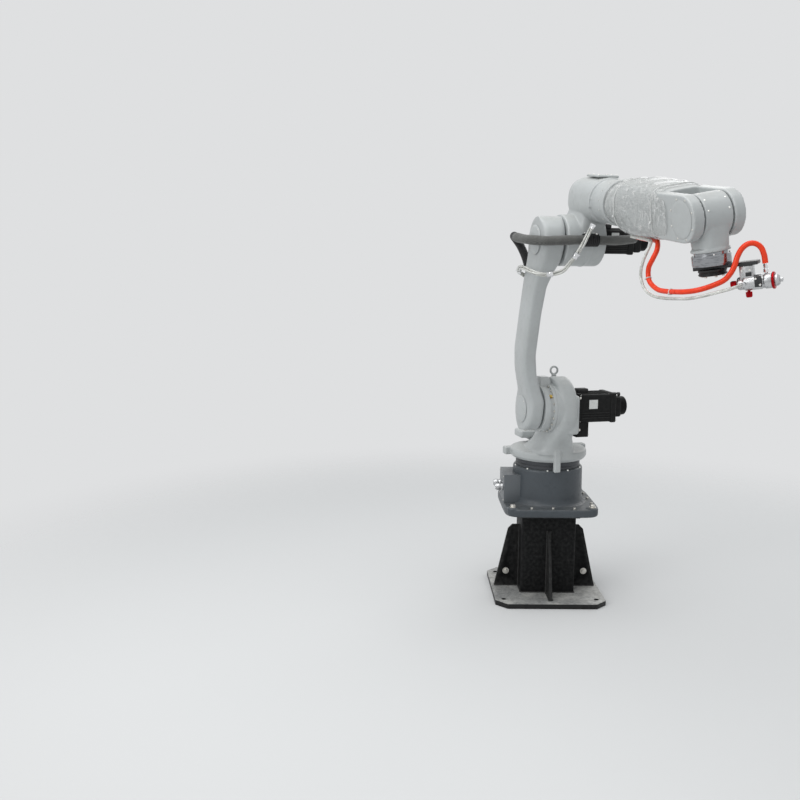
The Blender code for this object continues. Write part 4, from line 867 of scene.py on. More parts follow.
def pedestal():
    """Plate, column, gussets, ribs and top with rounded edges, weld beads and gusset bolts."""
    trimmed("plate_finished", "floor_plate", "plate_bare", "root", 0.002)
    for node in ("pedestal_column", "gusset_left", "gusset_right", "rib_front", "rib_back", "pedestal_top"):
        trimmed(node + "_finished", node, "pedestal_black", "root", 0.0022)
    weld_top = PLATE_TOP + 0.292
    foot_x = COLUMN_HALF_X + 0.109
    foot_y = COLUMN_HALF_Y + 0.111
    routes = [[(-COLUMN_HALF_X, -COLUMN_HALF_Y, PLATE_TOP), (COLUMN_HALF_X, -COLUMN_HALF_Y, PLATE_TOP),
               (COLUMN_HALF_X, COLUMN_HALF_Y, PLATE_TOP), (-COLUMN_HALF_X, COLUMN_HALF_Y, PLATE_TOP),
               (-COLUMN_HALF_X, -COLUMN_HALF_Y, PLATE_TOP)]]
    for side in (-1.0, 1.0):
        for edge in (-0.007, 0.007):
            routes.append([(side * COLUMN_HALF_X, edge, weld_top), (side * COLUMN_HALF_X, edge, PLATE_TOP),
                           (side * foot_x, edge, PLATE_TOP)])
            routes.append([(edge, side * COLUMN_HALF_Y, weld_top), (edge, side * COLUMN_HALF_Y, PLATE_TOP),
                           (edge, side * foot_y, PLATE_TOP)])
    lines = [bead_line(route) for route in routes]
    beads = [tube(line, bead_radius(len(line)), 8) for line in lines]
    piece("weld_beads", joined(*beads), "pedestal_black", "root", sharp_deg=80.0)
    spots = []
    for side in (-1.0, 1.0):
        for face, axis in ((-0.0072, MINUS_Y_AXIS), (0.0072, Y_AXIS)):
            spots.append(shift(side * 0.1827, face, 0.095) @ axis)
    piece("gusset_bolts", repeated(hex_head(0.0125), spots), "zinc", "root")


def bead_line(route):
    """A route of straight runs sampled every few millimetres."""
    line = np.array(route, dtype=float)
    run = np.concatenate([[0.0], np.cumsum(np.linalg.norm(np.diff(line, axis=0), axis=1))])
    wanted = np.linspace(0.0, run[-1], int(run[-1] / 0.0025))
    return np.stack([np.interp(wanted, run, line[:, k]) for k in range(3)], axis=1)


def bead_radius(count):
    """A weld's ripples: radius 3.8 mm, swelling by up to 0.5 mm every few millimetres."""
    return 0.0038 + 0.0005 * np.abs(np.sin(np.arange(count) * 0.9))


def base():
    """Base casting with its foot lobes and fillet, ring, ledge bolts, foot bolts and connector box."""
    plate = loft([(BASE_SEAT, 0, 0, 0.208, 0.208, 7.0), (BASE_SEAT + 0.003, 0, 0, 0.212, 0.212, 7.0),
                  (FLANGE_TOP - 0.004, 0, 0, 0.212, 0.212, 7.0), (FLANGE_TOP, 0, 0, 0.207, 0.207, 7.0)], count=24,
                 sides=128, passes=1)
    drum = revolve([(0.0, FLANGE_TOP - 0.02), (0.176, FLANGE_TOP - 0.02), (0.176, FLANGE_TOP + 0.002),
                    (0.165, FLANGE_TOP + 0.008), (0.16, FLANGE_TOP + 0.024), (DRUM_RADIUS, DRUM_TOP - 0.006),
                    (0.1525, DRUM_TOP), (0.0, DRUM_TOP)], ease=0.005, sides=128)
    foot = 0.178
    spots = [shift(side_x * foot, side_y * foot, 0.0) for side_x in (-1, 1) for side_y in (-1, 1)]
    boss = disc(0.025, BASE_SEAT + 0.01, FLANGE_TOP + 0.005, sides=32)
    casting("base_body", [plate, drum, repeated(boss, spots)], "base_grey", "root", "base_casting", voxel=0.004,
            passes=3)
    bolts = [spot @ shift(0.0, 0.0, FLANGE_TOP + 0.005) for spot in spots]
    piece("base_foot_bolts", repeated(hex_head(0.013), bolts), "zinc", "root")
    pins = [turn(90.0 * quarter, "Z") @ shift(0.19, along, FLANGE_TOP - 0.0005)
            for quarter in (0, 1, 3) for along in (-0.095, 0.0, 0.095)]
    piece("base_flange_screws", repeated(cap_screw(0.0062), pins), "zinc", "root")
    ring = revolve([(0.0, DRUM_TOP + SEAT_GAP), (RING_RADIUS, DRUM_TOP + SEAT_GAP), (RING_RADIUS, DRUM_TOP + 0.012),
                    (0.1432, DRUM_TOP + 0.0135), (0.1432, DRUM_TOP + 0.017), (RING_RADIUS, DRUM_TOP + 0.0185),
                    (RING_RADIUS, RING_TOP), (0.0, RING_TOP)], ease=0.001, sides=128)
    piece("bearing_ring", ring, "ring_grey", "root", "base_ring")
    piece("ledge_bolts", repeated(cap_screw(0.0046), circle_places(WORLD, 0.1512, 10, DRUM_TOP - 0.0035, -99.0)),
          "bright_zinc", "root")
    trimmed("connector_box_finished", "connector_box", "base_grey", "root", 0.003)
    face = -0.2088
    middle = 0.5078
    lid = []
    for side_y in (-1.0, 1.0):
        for side_z in (-1.0, 1.0):
            lid.append(shift(face - 0.0002, side_y * 0.075, middle + side_z * 0.055) @ turn(-90.0, "Y"))
    piece("connector_box_screws", repeated(button_head(0.004), lid), "zinc", "root")
    for name, side in (("power_connector", -1.0), ("signal_connector", 1.0)):
        shell = revolve([(0.0, 0.0), (0.016, 0.0), (0.016, 0.006), (0.0145, 0.007), (0.0145, 0.014), (0.016, 0.015),
                         (0.016, 0.03), (0.0125, 0.031), (0.0125, 0.035), (0.009, 0.035), (0.009, 0.02), (0.0, 0.02)],
                        ease=0.0006, sides=48)
        place = shift(face - 0.0003, side * 0.0425, middle) @ turn(-90.0, "Y")
        piece(name + "_shell", moved(shell, place), "steel", "root", name)


EAR_SHAPE = [(0.0, 0.4, -0.025, 1.04, 1.905), (0.1, 0.45, -0.018, 1.03, 1.638), (0.2, 0.55, -0.016, 1.02, 1.41),
             (0.34, 0.7, -0.021, 1.02, 1.162), (0.55, 0.88, -0.017, 1.01, 1.086), (0.8, 1.0, -0.01325, 1.0, 1.014)]


def ear():
    """Level sections of the ear: flared over the plate as the part's own table says, slimming to a dome whose
    half depth follows the sine and whose rise follows the cosine of one angle."""
    foot = TURRET_TOP - 0.002
    rise = SHOULDER[2] - foot
    sections = [(foot - 0.012, 0.06, -0.018, 1.04 * EAR_RADIUS, 1.92 * EAR_HALF, 3.0)]
    for up, forward, side, depth, thick in EAR_SHAPE:
        sections.append((foot + up * rise, forward * SHOULDER[0], side, depth * EAR_RADIUS, thick * EAR_HALF, 3.0))
    for degrees in (90.0, 72.0, 54.0, 38.0, 24.0, 12.0, 5.0):
        angle = math.radians(degrees)
        half = EAR_HALF * (0.62 + 0.38 * math.sin(angle))
        sections.append((SHOULDER[2] + EAR_RISE * math.cos(angle), SHOULDER[0], EAR_OFFSET - EAR_HALF + half,
                         EAR_RADIUS * math.sin(angle), half, 3.4))
    return loft(sections, count=90, sides=96, passes=2)


def turret():
    """Turning casting: plate with its carrying bar, bell-shaped ear, motor seat, reducer seat and stop lug, with
    its fasteners."""
    plate = revolve([(0.0, RING_TOP + SEAT_GAP), (0.163, RING_TOP + SEAT_GAP), (0.173, RING_TOP + 0.014),
                     (TURRET_RADIUS, RING_TOP + 0.018), (TURRET_RADIUS, TURRET_TOP - 0.016),
                     (0.169, TURRET_TOP - 0.009), (0.12, TURRET_TOP), (0.0, TURRET_TOP)], ease=0.002, sides=128)
    bar = rounded_box((-0.06, -0.2, RING_TOP + 0.01), (-0.02, 0.2, RING_TOP + 0.045), 0.004)
    seat = rounded_box((0.055, EAR_OFFSET, SHOULDER[2] - 0.11), (0.245, MOTOR_SEAT - SEAT_GAP, SHOULDER[2] + 0.062),
                       0.014)
    reducer = moved(disc(REDUCER_RADIUS, -REDUCER_SEAT, EAR_OFFSET, "y"), shift(*SHOULDER))
    boss = moved(disc(0.012, 0.0, EAR_RISE, sides=32), shift(0.11, -0.03, SHOULDER[2]))
    lug = rounded_box((0.163, -0.045, 0.606), (0.184, -0.015, 0.705), 0.004)
    shapes = [moved(shape, TURRET) for shape in (plate, bar, ear(), seat, reducer, boss, lug)]
    casting("turret_body", shapes, "casting_grey", "turret", "turret_casting", voxel=0.003, passes=3)
    axis = TURRET @ shift(*SHOULDER) @ MINUS_Y_AXIS
    start = REDUCER_SEAT + SEAT_GAP
    rim = revolve([(0.0, start), (REDUCER_RADIUS, start), (REDUCER_RADIUS, start + 0.0127), (0.0985, start + 0.0147),
                   (0.0985, 0.098), (0.1035, 0.1), (0.1035, 0.1237), (0.0, 0.1237)], ease=0.0012, sides=96)
    piece("shoulder_reducer_body", moved(rim, axis), "casting_grey", "turret", "shoulder_reducer")
    piece("reducer_bolts", repeated(hex_head(0.0044), circle_places(axis, 0.1033, 20, start + 0.0147)), "zinc",
          "turret")
    plug = TURRET @ shift(*SHOULDER) @ turn(52.0, "Y") @ shift(0.0, -0.0935, 0.0985)
    piece("oil_plug", moved(hex_head(0.0075), plug), "brass", "turret")
    top = SHOULDER[2] + REDUCER_RADIUS
    stop = prism([(-0.118, top - 0.012), (-0.072, top - 0.012), (-0.072, top + 0.012), (-0.082, top + 0.032),
                  (-0.118, top + 0.032)], -0.022, 0.022)
    stop = (stop[0][:, [2, 0, 1]], stop[1])
    piece("shoulder_stop", moved(stop, TURRET @ shift(SHOULDER[0], 0.0, 0.0)), "casting_grey", "turret")
    flange = [TURRET @ shift(SHOULDER[0] + side_x * 0.08, MOTOR_SEAT, SHOULDER[2] + side_z) @ Y_AXIS
              for side_x in (-1.0, 1.0) for side_z in (-0.09, 0.05)]
    piece("motor_seat_bolts", repeated(cap_screw(0.0055), flange), "zinc", "turret")
    piece("lifting_eye_forged", moved(eye_shape(), TURRET @ shift(0.11, -0.03, SHOULDER[2] + EAR_RISE + SEAT_GAP)),
          "casting_grey", "turret", "lifting_eye")
    place = TURRET @ shift(SHOULDER[0], MOTOR_SEAT, SHOULDER[2])
    adapter = rounded_box((-0.055, 0.0, -0.128), (0.055, 0.06, -0.05), 0.004)
    motor("shoulder_motor", place, width=0.135, length=0.185, cap_width=0.09, cap_length=0.065, body="turret",
          extra=[adapter])
    corners = [place @ shift(side * 0.044, 0.06, -0.118) @ Y_AXIS for side in (-1.0, 1.0)]
    corners += [place @ shift(-0.0552, y, z) @ turn(-90.0, "Y") for y, z in ((0.012, -0.115), (0.048, -0.115))]
    piece("motor_adapter_screws", repeated(cap_screw(0.0042), corners), "bright_zinc", "turret")
    turn_drive()


def eye_shape():
    """A torus standing on a short collared stem."""
    angle = np.linspace(0.0, 2.0 * math.pi, 40, endpoint=False)
    line = np.stack([np.zeros(40), 0.0165 * np.cos(angle), 0.0225 + 0.0165 * np.sin(angle)], -1)
    stem = revolve([(0.0, 0.0), (0.0115, 0.0), (0.0115, 0.003), (0.0076, 0.005), (0.0076, 0.008), (0.0, 0.009)],
                   ease=0.0012, sides=32)
    return joined(tube(line, 0.0045, 14, closed=True), stem)


def motor(name, place, width, length, cap_width, cap_length, body, extra=()):
    """A servo along y: mounting flange, finned square body, end shield, round encoder end, plugs, screws and a
    blank plate on the side that looks forward."""
    half = width / 2.0
    cap = cap_width / 2.0
    shell = [rounded_box((-half, 0.0, -half), (half, 0.012, half), 0.003),
             rounded_box((-half * 0.92, 0.008, -half * 0.92), (half * 0.92, length - 0.02, half * 0.92), 0.009),
             rounded_box((-half * 0.97, length - 0.026, -half * 0.97), (half * 0.97, length, half * 0.97), 0.006)]
    for side in (-1.0, 1.0):
        for level in (np.linspace(-0.62, -0.3, 3) if side > 0 else np.linspace(0.3, 0.62, 3)) * half:
            low_x, high_x = sorted((side * half * 0.88, side * half * 0.965))
            shell.append(rounded_box((low_x, 0.02, level - 0.0022), (high_x, length - 0.03, level + 0.0022),
                                     0.0012, 2))
    for level in np.linspace(-0.6, 0.6, 5) * half:
        shell.append(rounded_box((level - 0.0022, 0.02, half * 0.88), (level + 0.0022, length - 0.03, half * 0.965),
                                 0.0012, 2))
    piece(name + "_shell", moved(joined(*shell, *extra), place), "motor_black", body, name)
    start = length + SEAT_GAP
    cover = [rounded_box((-cap, start, -cap), (cap, start + cap_length * 0.55, cap), 0.009),
             disc(cap * 0.93, start + cap_length * 0.4, start + cap_length, "y", 0.006, 64),
             disc(cap * 0.5, start + cap_length - 0.004, start + cap_length + 0.001, "y", 0.0008, 48)]
    piece(name + "_cover", moved(joined(*cover), place), "motor_black", body, name + "_cap")
    plugs = [rounded_box((-0.016, start + 0.003, cap - 0.002), (0.016, start + 0.034, cap + 0.014), 0.004),
             disc(0.009, start + 0.034, start + 0.046, "y", 0.001, 32)]
    plugs[1] = moved(plugs[1], shift(0.0, 0.0, cap + 0.006))
    plugs.append(rounded_box((-0.019, length * 0.1, half * 0.93), (0.019, length * 0.38, half * 0.93 + 0.02), 0.004))
    piece(name + "_plugs", moved(joined(*plugs), place), "rubber", body)
    spots = [place @ shift(side_x * half * 0.84, 0.0122, side_z * half * 0.84) @ Y_AXIS
             for side_x in (-1.0, 1.0) for side_z in (-1.0, 1.0)]
    spots += [place @ shift(side_x * half * 0.82, length - 0.0005, side_z * half * 0.82) @ Y_AXIS
              for side_x in (-1.0, 1.0) for side_z in (-1.0, 1.0)]
    piece(name + "_bolts", repeated(cap_screw(0.0042), spots), "bright_zinc", body)
    plate = rounded_box((half * 0.92 - 0.0006, length * 0.3, -0.002), (half * 0.92 + 0.0009, length * 0.52, 0.038),
                        0.0006, 2)
    piece(name + "_blank_plate", moved(plate, place), "blank_white", body)


def turn_drive():
    """First axis motor behind the ear with its post, bracket bar and bolts."""
    trimmed("turn_post", "turn_motor_base", "casting_grey", "turret", 0.003)
    trimmed("turn_bracket", "turn_motor_bracket", "casting_grey", "turret", 0.003)
    trimmed("turn_motor_shell", "turn_motor", "motor_black", "turret", 0.005)
    top = TURRET_TOP + 2 * SEAT_GAP + 0.02 + 0.035
    spots = [TURRET @ shift(-0.112 + 0.028 * side_x, side_y, top) for side_x in (-1.0, 1.0) for side_y in (-0.08, 0.21)]
    piece("turn_bracket_bolts", repeated(cap_screw(0.0055), spots), "zinc", "turret")


# Upper arm

LINK_SHAPE = [(0.085, 1.5, 0.0, 1.05), (0.15, 1.28, 0.35, 1.0), (0.24, 1.12, 0.75, 0.95), (0.36, 1.03, 1.0, 0.93),
              (0.6, 1.0, 1.0, 0.93), (0.76, 1.02, 0.85, 1.0), (0.85, 1.2, 0.4, 1.2), (0.915, 1.42, 0.0, 1.4)]


def upper_arm():
    """Bowed link with a round hub at each end and shallow domed hub covers with their small screws."""
    sections = []
    for degrees in (8.0, 28.0, 48.0, 68.0, 90.0):
        angle = math.radians(degrees)
        sections.append((-HUB_RADIUS * math.cos(angle), 0.0, LOWER_HUB_SIDE, HUB_RADIUS * math.sin(angle), 0.036, 5.0))
    for share, depth, bow, thick in LINK_SHAPE:
        side = LOWER_HUB_SIDE if share < 0.5 else UPPER_HUB_SIDE
        sections.append((LINK_LENGTH * share, 0.0, side + (BOW_SIDE - side) * bow, 0.062 * depth, 0.034 * thick, 4.6))
    for degrees in (90.0, 112.0, 134.0, 152.0, 172.0):
        angle = math.radians(degrees)
        sections.append((LINK_LENGTH - HUB_RADIUS * math.cos(angle), 0.0, UPPER_HUB_SIDE, HUB_RADIUS * math.sin(angle),
                         0.05, 5.0))
    link = loft(sections, count=150, sides=96, passes=5)
    piece("upper_arm_body", moved(link, LINK), "casting_grey", "upper_arm_body", "upper_arm", sharp_deg=60.0)
    for name, place, side, half in (("shoulder_cover", LINK, LOWER_HUB_SIDE, 0.036),
                                    ("elbow_cover", LINK_END, UPPER_HUB_SIDE, 0.05)):
        face = -(side - half - SEAT_GAP)
        axis = place @ MINUS_Y_AXIS
        cap = revolve([(0.0, face), (0.06, face), (0.06, face + 0.0025), (0.052, face + 0.0065), (0.03, face + 0.0095),
                       (0.0, face + 0.0105)], ease=0.006, sides=96)
        piece(name + "_cap", moved(cap, axis), "casting_grey", "upper_arm_body", name, sharp_deg=60.0)
        piece(name + "_screws", repeated(button_head(0.0027), circle_places(axis, 0.0545, 6, face + 0.0047)), "zinc",
              "upper_arm_body")


# Elbow

def elbow():
    """Elbow casting with its drum, neck, housing and nose, the covers, motors, ribs and fasteners."""
    drum = disc(0.104, -0.1357, ELBOW_OUTER, "y", 0.004, 96)
    side = -0.0304
    half_height = 0.0875
    neck = loft([(0.0, 0.0, side, 0.0967, 0.0594, 5.0), (0.0605, 0.0, side, 0.0967, 0.0594, 5.0),
                 (FOREARM_RISE, 0.0208, 0.0, 0.0749, 0.072, 5.0)], count=24, passes=2)
    housing = loft([(-0.075, 0.0, 0.1593, 0.063, 0.0542, 2.8), (-0.0735, 0.0, 0.161, 0.0705, 0.0635, 2.8),
                    (-0.057, 0.0, FOREARM_RISE, 0.0828, 0.0788, 2.6),
                    (-0.01875, 0.0, FOREARM_RISE, 0.09, half_height, 2.5),
                    (0.09375, 0.0, FOREARM_RISE, 0.09, half_height, 2.4),
                    (0.15, 0.0, FOREARM_RISE, 0.0882, 0.0858, 2.2)], "x", 60, 80, 3)
    nose = moved(revolve([(0.0, 0.0), (0.083, 0.0), (0.083, 0.228), (NOSE_RADIUS, 0.232), (NOSE_RADIUS, NOSE_END),
                          (0.0, NOSE_END)], "x", 0.002, 96), shift(0.0, 0.0, FOREARM_RISE))
    band = disc(0.1065, -0.0385, -0.0325, "y", 0.001, 96)
    beads = []
    for x, spread in ((0.012, 1.0), (0.155, 1.005)):
        angle = np.linspace(0.15 * math.pi, 1.1 * math.pi, 40)
        beads.append(tube(np.stack([np.full(40, x), 0.0895 * spread * np.cos(angle),
                                    FOREARM_RISE + 0.0865 * spread * np.sin(angle)], -1), 0.0042, 10))
    shapes = [moved(shape, ELBOW) for shape in [drum, neck, housing, nose, band] + beads]
    casting("elbow_body_casting", shapes, "casting_grey", "elbow_body", "elbow_casting", voxel=0.0032, passes=3)
    motor("elbow_motor", ELBOW @ shift(0.0, ELBOW_OUTER + SEAT_GAP, 0.0), width=0.105, length=0.15, cap_width=0.085,
          cap_length=0.07, body="elbow_body")
    trimmed("roll_motor_shell", "roll_motor", "motor_black", "elbow_body", 0.005)
    trimmed("elbow_lid", "elbow_top_cover", "casting_grey", "elbow_body", 0.0022)
    top = FOREARM_RISE + half_height + SEAT_GAP + 0.01
    spots = [ELBOW @ shift(x, side * 0.038, top) for x in (0.027, 0.07, 0.113) for side in (-1.0, 1.0)]
    piece("elbow_lid_screws", repeated(button_head(0.004), spots), "zinc", "elbow_body")
    axis = HOUSING @ X_AXIS
    back = [spot @ turn(180.0, "X") for spot in circle_places(axis, 0.0848, 14, 0.2322, 8.0)]
    piece("nose_bolts", repeated(cap_screw(0.0034), back), "bright_zinc", "elbow_body")


# Forearm

FOREARM_BOX = np.array([(0.279, 0.083, 0.083, 2.0), (0.3456, 0.083, 0.083, 2.0), (0.3885, 0.096, 0.096, 2.8),
                        (0.4877, 0.096, 0.096, 3.6), (0.6199, 0.0922, 0.0893, 4.0), (0.7025, 0.088, 0.0792, 4.2)])
TINE_RADIUS = 0.076
TINE_START = 0.6765
HOLLOW_RADIUS = 0.0825
TIE_STATIONS = (0.375, 0.645)
FILM_START = 0.284
FILM_LENGTH = 0.406


def forearm_half(station):
    """Half width, half height and power of the forearm box at stations along it."""
    return [np.interp(station, FOREARM_BOX[:, 0], FOREARM_BOX[:, k]) for k in (1, 2, 3)]


def forearm():
    """Rolling casting with its fork, end covers, ring, ties and screws. The fork's root ends in a hollow round
    the wrist drum, an arc about the bend axis."""
    station = np.linspace(FOREARM_BOX[0, 0], FOREARM_BOX[-1, 0], 60)
    half_y, half_z, power = forearm_half(station)
    sections = np.column_stack([station, station * 0, station * 0, half_y, half_z, power])
    box = loft(sections, "x", 80, 96, 4)
    tines = []
    for side in (-1.0, 1.0):
        angle = np.radians(np.linspace(-90.0, 90.0, 30))
        rim = zip(FOREARM_LENGTH + TINE_RADIUS * np.cos(angle), TINE_RADIUS * np.sin(angle))
        outline = [(TINE_START, -TINE_RADIUS)] + list(rim) + [(TINE_START, TINE_RADIUS)]
        low, high = sorted((side * 0.053, side * 0.091))
        tines.append(prism([(z, x) for x, z in outline], low, high, "y"))
    angle = np.radians(np.linspace(167.0, 193.0, 10))
    rim = zip(FOREARM_LENGTH + HOLLOW_RADIUS * np.cos(angle), HOLLOW_RADIUS * np.sin(angle))
    corner = FOREARM_LENGTH - 0.094
    outline = [(0.69, 0.048), (corner, 0.034)] + list(rim) + [(corner, -0.034), (0.69, -0.048)]
    tines.append(prism([(z, x) for x, z in outline], -0.06, 0.06, "y"))
    tines = [(shape[0][:, [2, 1, 0]], shape[1]) for shape in tines]
    shapes = [moved(shape, FOREARM) for shape in [box] + tines]
    casting("forearm_body_casting", shapes, "casting_grey", "forearm_body", "forearm_casting", voxel=0.0035, passes=4)
    for name, side in (("fork_cover_near", -1.0), ("fork_cover_far", 1.0)):
        cap = revolve([(0.0, 0.0913), (0.0608, 0.0913), (0.0608, 0.0925), (0.052, 0.0938), (0.0, 0.0942)], ease=0.003)
        axis = FORK @ (MINUS_Y_AXIS if side < 0 else Y_AXIS)
        piece(name + "_cap", moved(cap, axis), "casting_grey", "forearm_body", name, sharp_deg=60.0)
        piece(name + "_screws", repeated(button_head(0.0032), circle_places(axis, 0.067, 8, 0.0908, 22.5)), "zinc",
              "forearm_body")
    ring = revolve([(0.0, 0.2663), (0.078, 0.2663), (0.078, 0.2783), (0.0, 0.2783)], "x", 0.001, 96)
    piece("roll_seal", moved(ring, HOUSING), "seal_grey", "forearm_body", "roll_ring")
    ties = []
    for place in TIE_STATIONS:
        y, z, power = forearm_half(place)
        u, v = superellipse([y + 0.0042], [z + 0.0042], [power], 96)
        line = np.stack([np.full(96, place) + 0.002 * np.sin(np.linspace(0.0, 6.28, 96)), u[0], v[0]], -1)
        ties.append(tube(line, 0.0016, 8, closed=True))
        ties.append(rounded_box((place - 0.0035, -y - 0.0095, -0.028), (place + 0.0035, -y - 0.0035, -0.02), 0.0015))
    piece("tie_straps", moved(joined(*ties), FOREARM), "blank_white", "forearm_body", sharp_deg=80.0)
    wrap_sheet()


def wrap_sheet():
    """Clear film round the forearm: the box's own section a few millimetres out, pushed in and out by folds that
    run slantwise, deepest at the rear where it is gathered. Its front edge runs slantwise, and 58 mm further on over
    the tines than above and below."""
    share = np.linspace(0.0, 1.0, 150)[:, None]
    angle = np.linspace(0.0, 2.0 * math.pi, 200, endpoint=False)[None, :]
    station = FILM_START + share * (FILM_LENGTH - 0.012 * np.sin(angle) + 0.058 * np.cos(angle) ** 4)
    mean = FILM_START + share[:, 0] * FILM_LENGTH
    half_y, half_z, power = forearm_half(mean)
    half_y = half_y + np.interp(mean, (0.61, 0.65), (0.0, 0.0048))
    u, v = superellipse(half_y, half_z, power, 200)
    fold = (np.sin(9.0 * angle + 60.0 * station) * 0.5 + np.sin(17.0 * angle - 95.0 * station + 1.3) * 0.3
            + np.sin(5.0 * angle + 140.0 * station + 0.4) * 0.4)
    top = 0.35 + 0.65 * np.clip(np.sin(angle), 0.0, 1.0) ** 2
    pinch = 1.0 - 0.8 * sum(np.exp(-((mean - place) / 0.012) ** 2) for place in TIE_STATIONS)
    gather = np.exp(-((mean - 0.325) / 0.03) ** 2)[:, None]
    reach = 0.0042 + 0.0026 * fold * top * pinch[:, None] + gather * (0.0035 + 0.0028 * fold)
    away = np.stack([u / half_y[:, None], v / half_z[:, None]], -1)
    away /= np.linalg.norm(away, axis=-1, keepdims=True)
    outer = np.stack([station, u + away[..., 0] * reach, v + away[..., 1] * reach], -1)
    inner = outer.copy()
    inner[..., 1:] -= away * 0.0003
    both = np.concatenate([outer, inner[::-1]])
    film = piece("forearm_film", moved(skin(both, closed=True), FOREARM), "film", "forearm_body", sharp_deg=180.0)


# Wrist and tool

def wrist():
    """Wrist casting between the tines with its neck and flange, a side plug and rim screws."""
    drum = disc(0.074, -0.048, 0.048, "y", 0.003, 96)
    journal = disc(0.037, -0.0527, 0.0527, "y", 0.001, 64)
    neck = loft([(0.0, 0.0, 0.0, 0.0466, 0.0718, 4.0), (0.069, 0.0, 0.0, 0.0466, 0.0592, 4.0),
                 (0.1, 0.0, 0.0, 0.048, 0.0589, 3.0)], "x", 30, 72)
    flange = disc(0.062, 0.104, WRIST_REACH, "x", 0.0015, 96)
    shapes = [moved(drum, FORK), moved(journal, FORK)] + [moved(shape, TOOL) for shape in (neck, flange)]
    casting("wrist_body_casting", shapes, "casting_grey", "wrist_body", "wrist_casting", voxel=0.0028, passes=4)
    around = [FORK @ Y_AXIS @ turn(angle, "Z") @ shift(0.0735, 0.0, side) @ turn(90.0, "Y")
              for angle in (-80.0, -50.0, -20.0) for side in (-0.036, 0.036)]
    piece("wrist_rim_screws", repeated(button_head(0.0034), around), "bright_zinc", "wrist_body")
    plug = TOOL @ shift(0.066, -0.0462, 0.004) @ MINUS_Y_AXIS
    piece("wrist_side_plug", moved(cap_screw(0.006), plug), "steel", "wrist_body")


def tool():
    """Turned adapter, bracket, disc and spray gun with its rings, knobs and fittings."""
    start = WRIST_REACH + SEAT_GAP
    adapter = revolve([(0.0, start), (0.0533, start), (0.0533, start + 0.0086), (0.062, start + 0.0086),
                       (0.062, start + 0.0385), (0.0612, start + 0.0395), (0.0612, start + 0.043),
                       (0.0, start + 0.043)], "x", 0.0009, 128)
    piece("flange_adapter_turned", moved(adapter, TOOL), "aluminium", "tool_body", "flange_adapter")
    around = circle_places(TOOL @ X_AXIS, 0.0577, 4, start + 0.0086, 22.5)
    piece("flange_adapter_screws", repeated(cap_screw(0.003), [spot @ turn(180.0, "X") for spot in around]),
          "bright_zinc", "tool_body")
    aim = TOOL @ turn(-45.0, "X")
    plate = rounded_box((BRACKET_SEAT, -0.025, -0.0558), (BRACKET_SEAT + 0.012, 0.025, BRACKET_REACH), 0.0025)
    piece("gun_bracket_plate", moved(plate, aim), "tool_black", "tool_body", "gun_bracket")
    seat = BRACKET_SEAT + 0.012 + SEAT_GAP
    boss = revolve([(0.0, seat), (0.045, seat), (0.045, seat + 0.007), (0.0425, seat + 0.0085), (0.0425, seat + 0.012),
                    (0.045, seat + 0.0135), (0.045, seat + 0.017), (0.042, seat + 0.02), (0.0, seat + 0.02)], "x",
                   0.001, 96)
    piece("tool_disc_boss", moved(boss, TOOL), "tool_black", "tool_body", "tool_disc")
    spots = circle_places(TOOL @ X_AXIS, 0.032, 6, seat + 0.0195, 15.0)
    piece("tool_disc_screws", repeated(cap_screw(0.0046), spots), "zinc", "tool_body")
    gun()


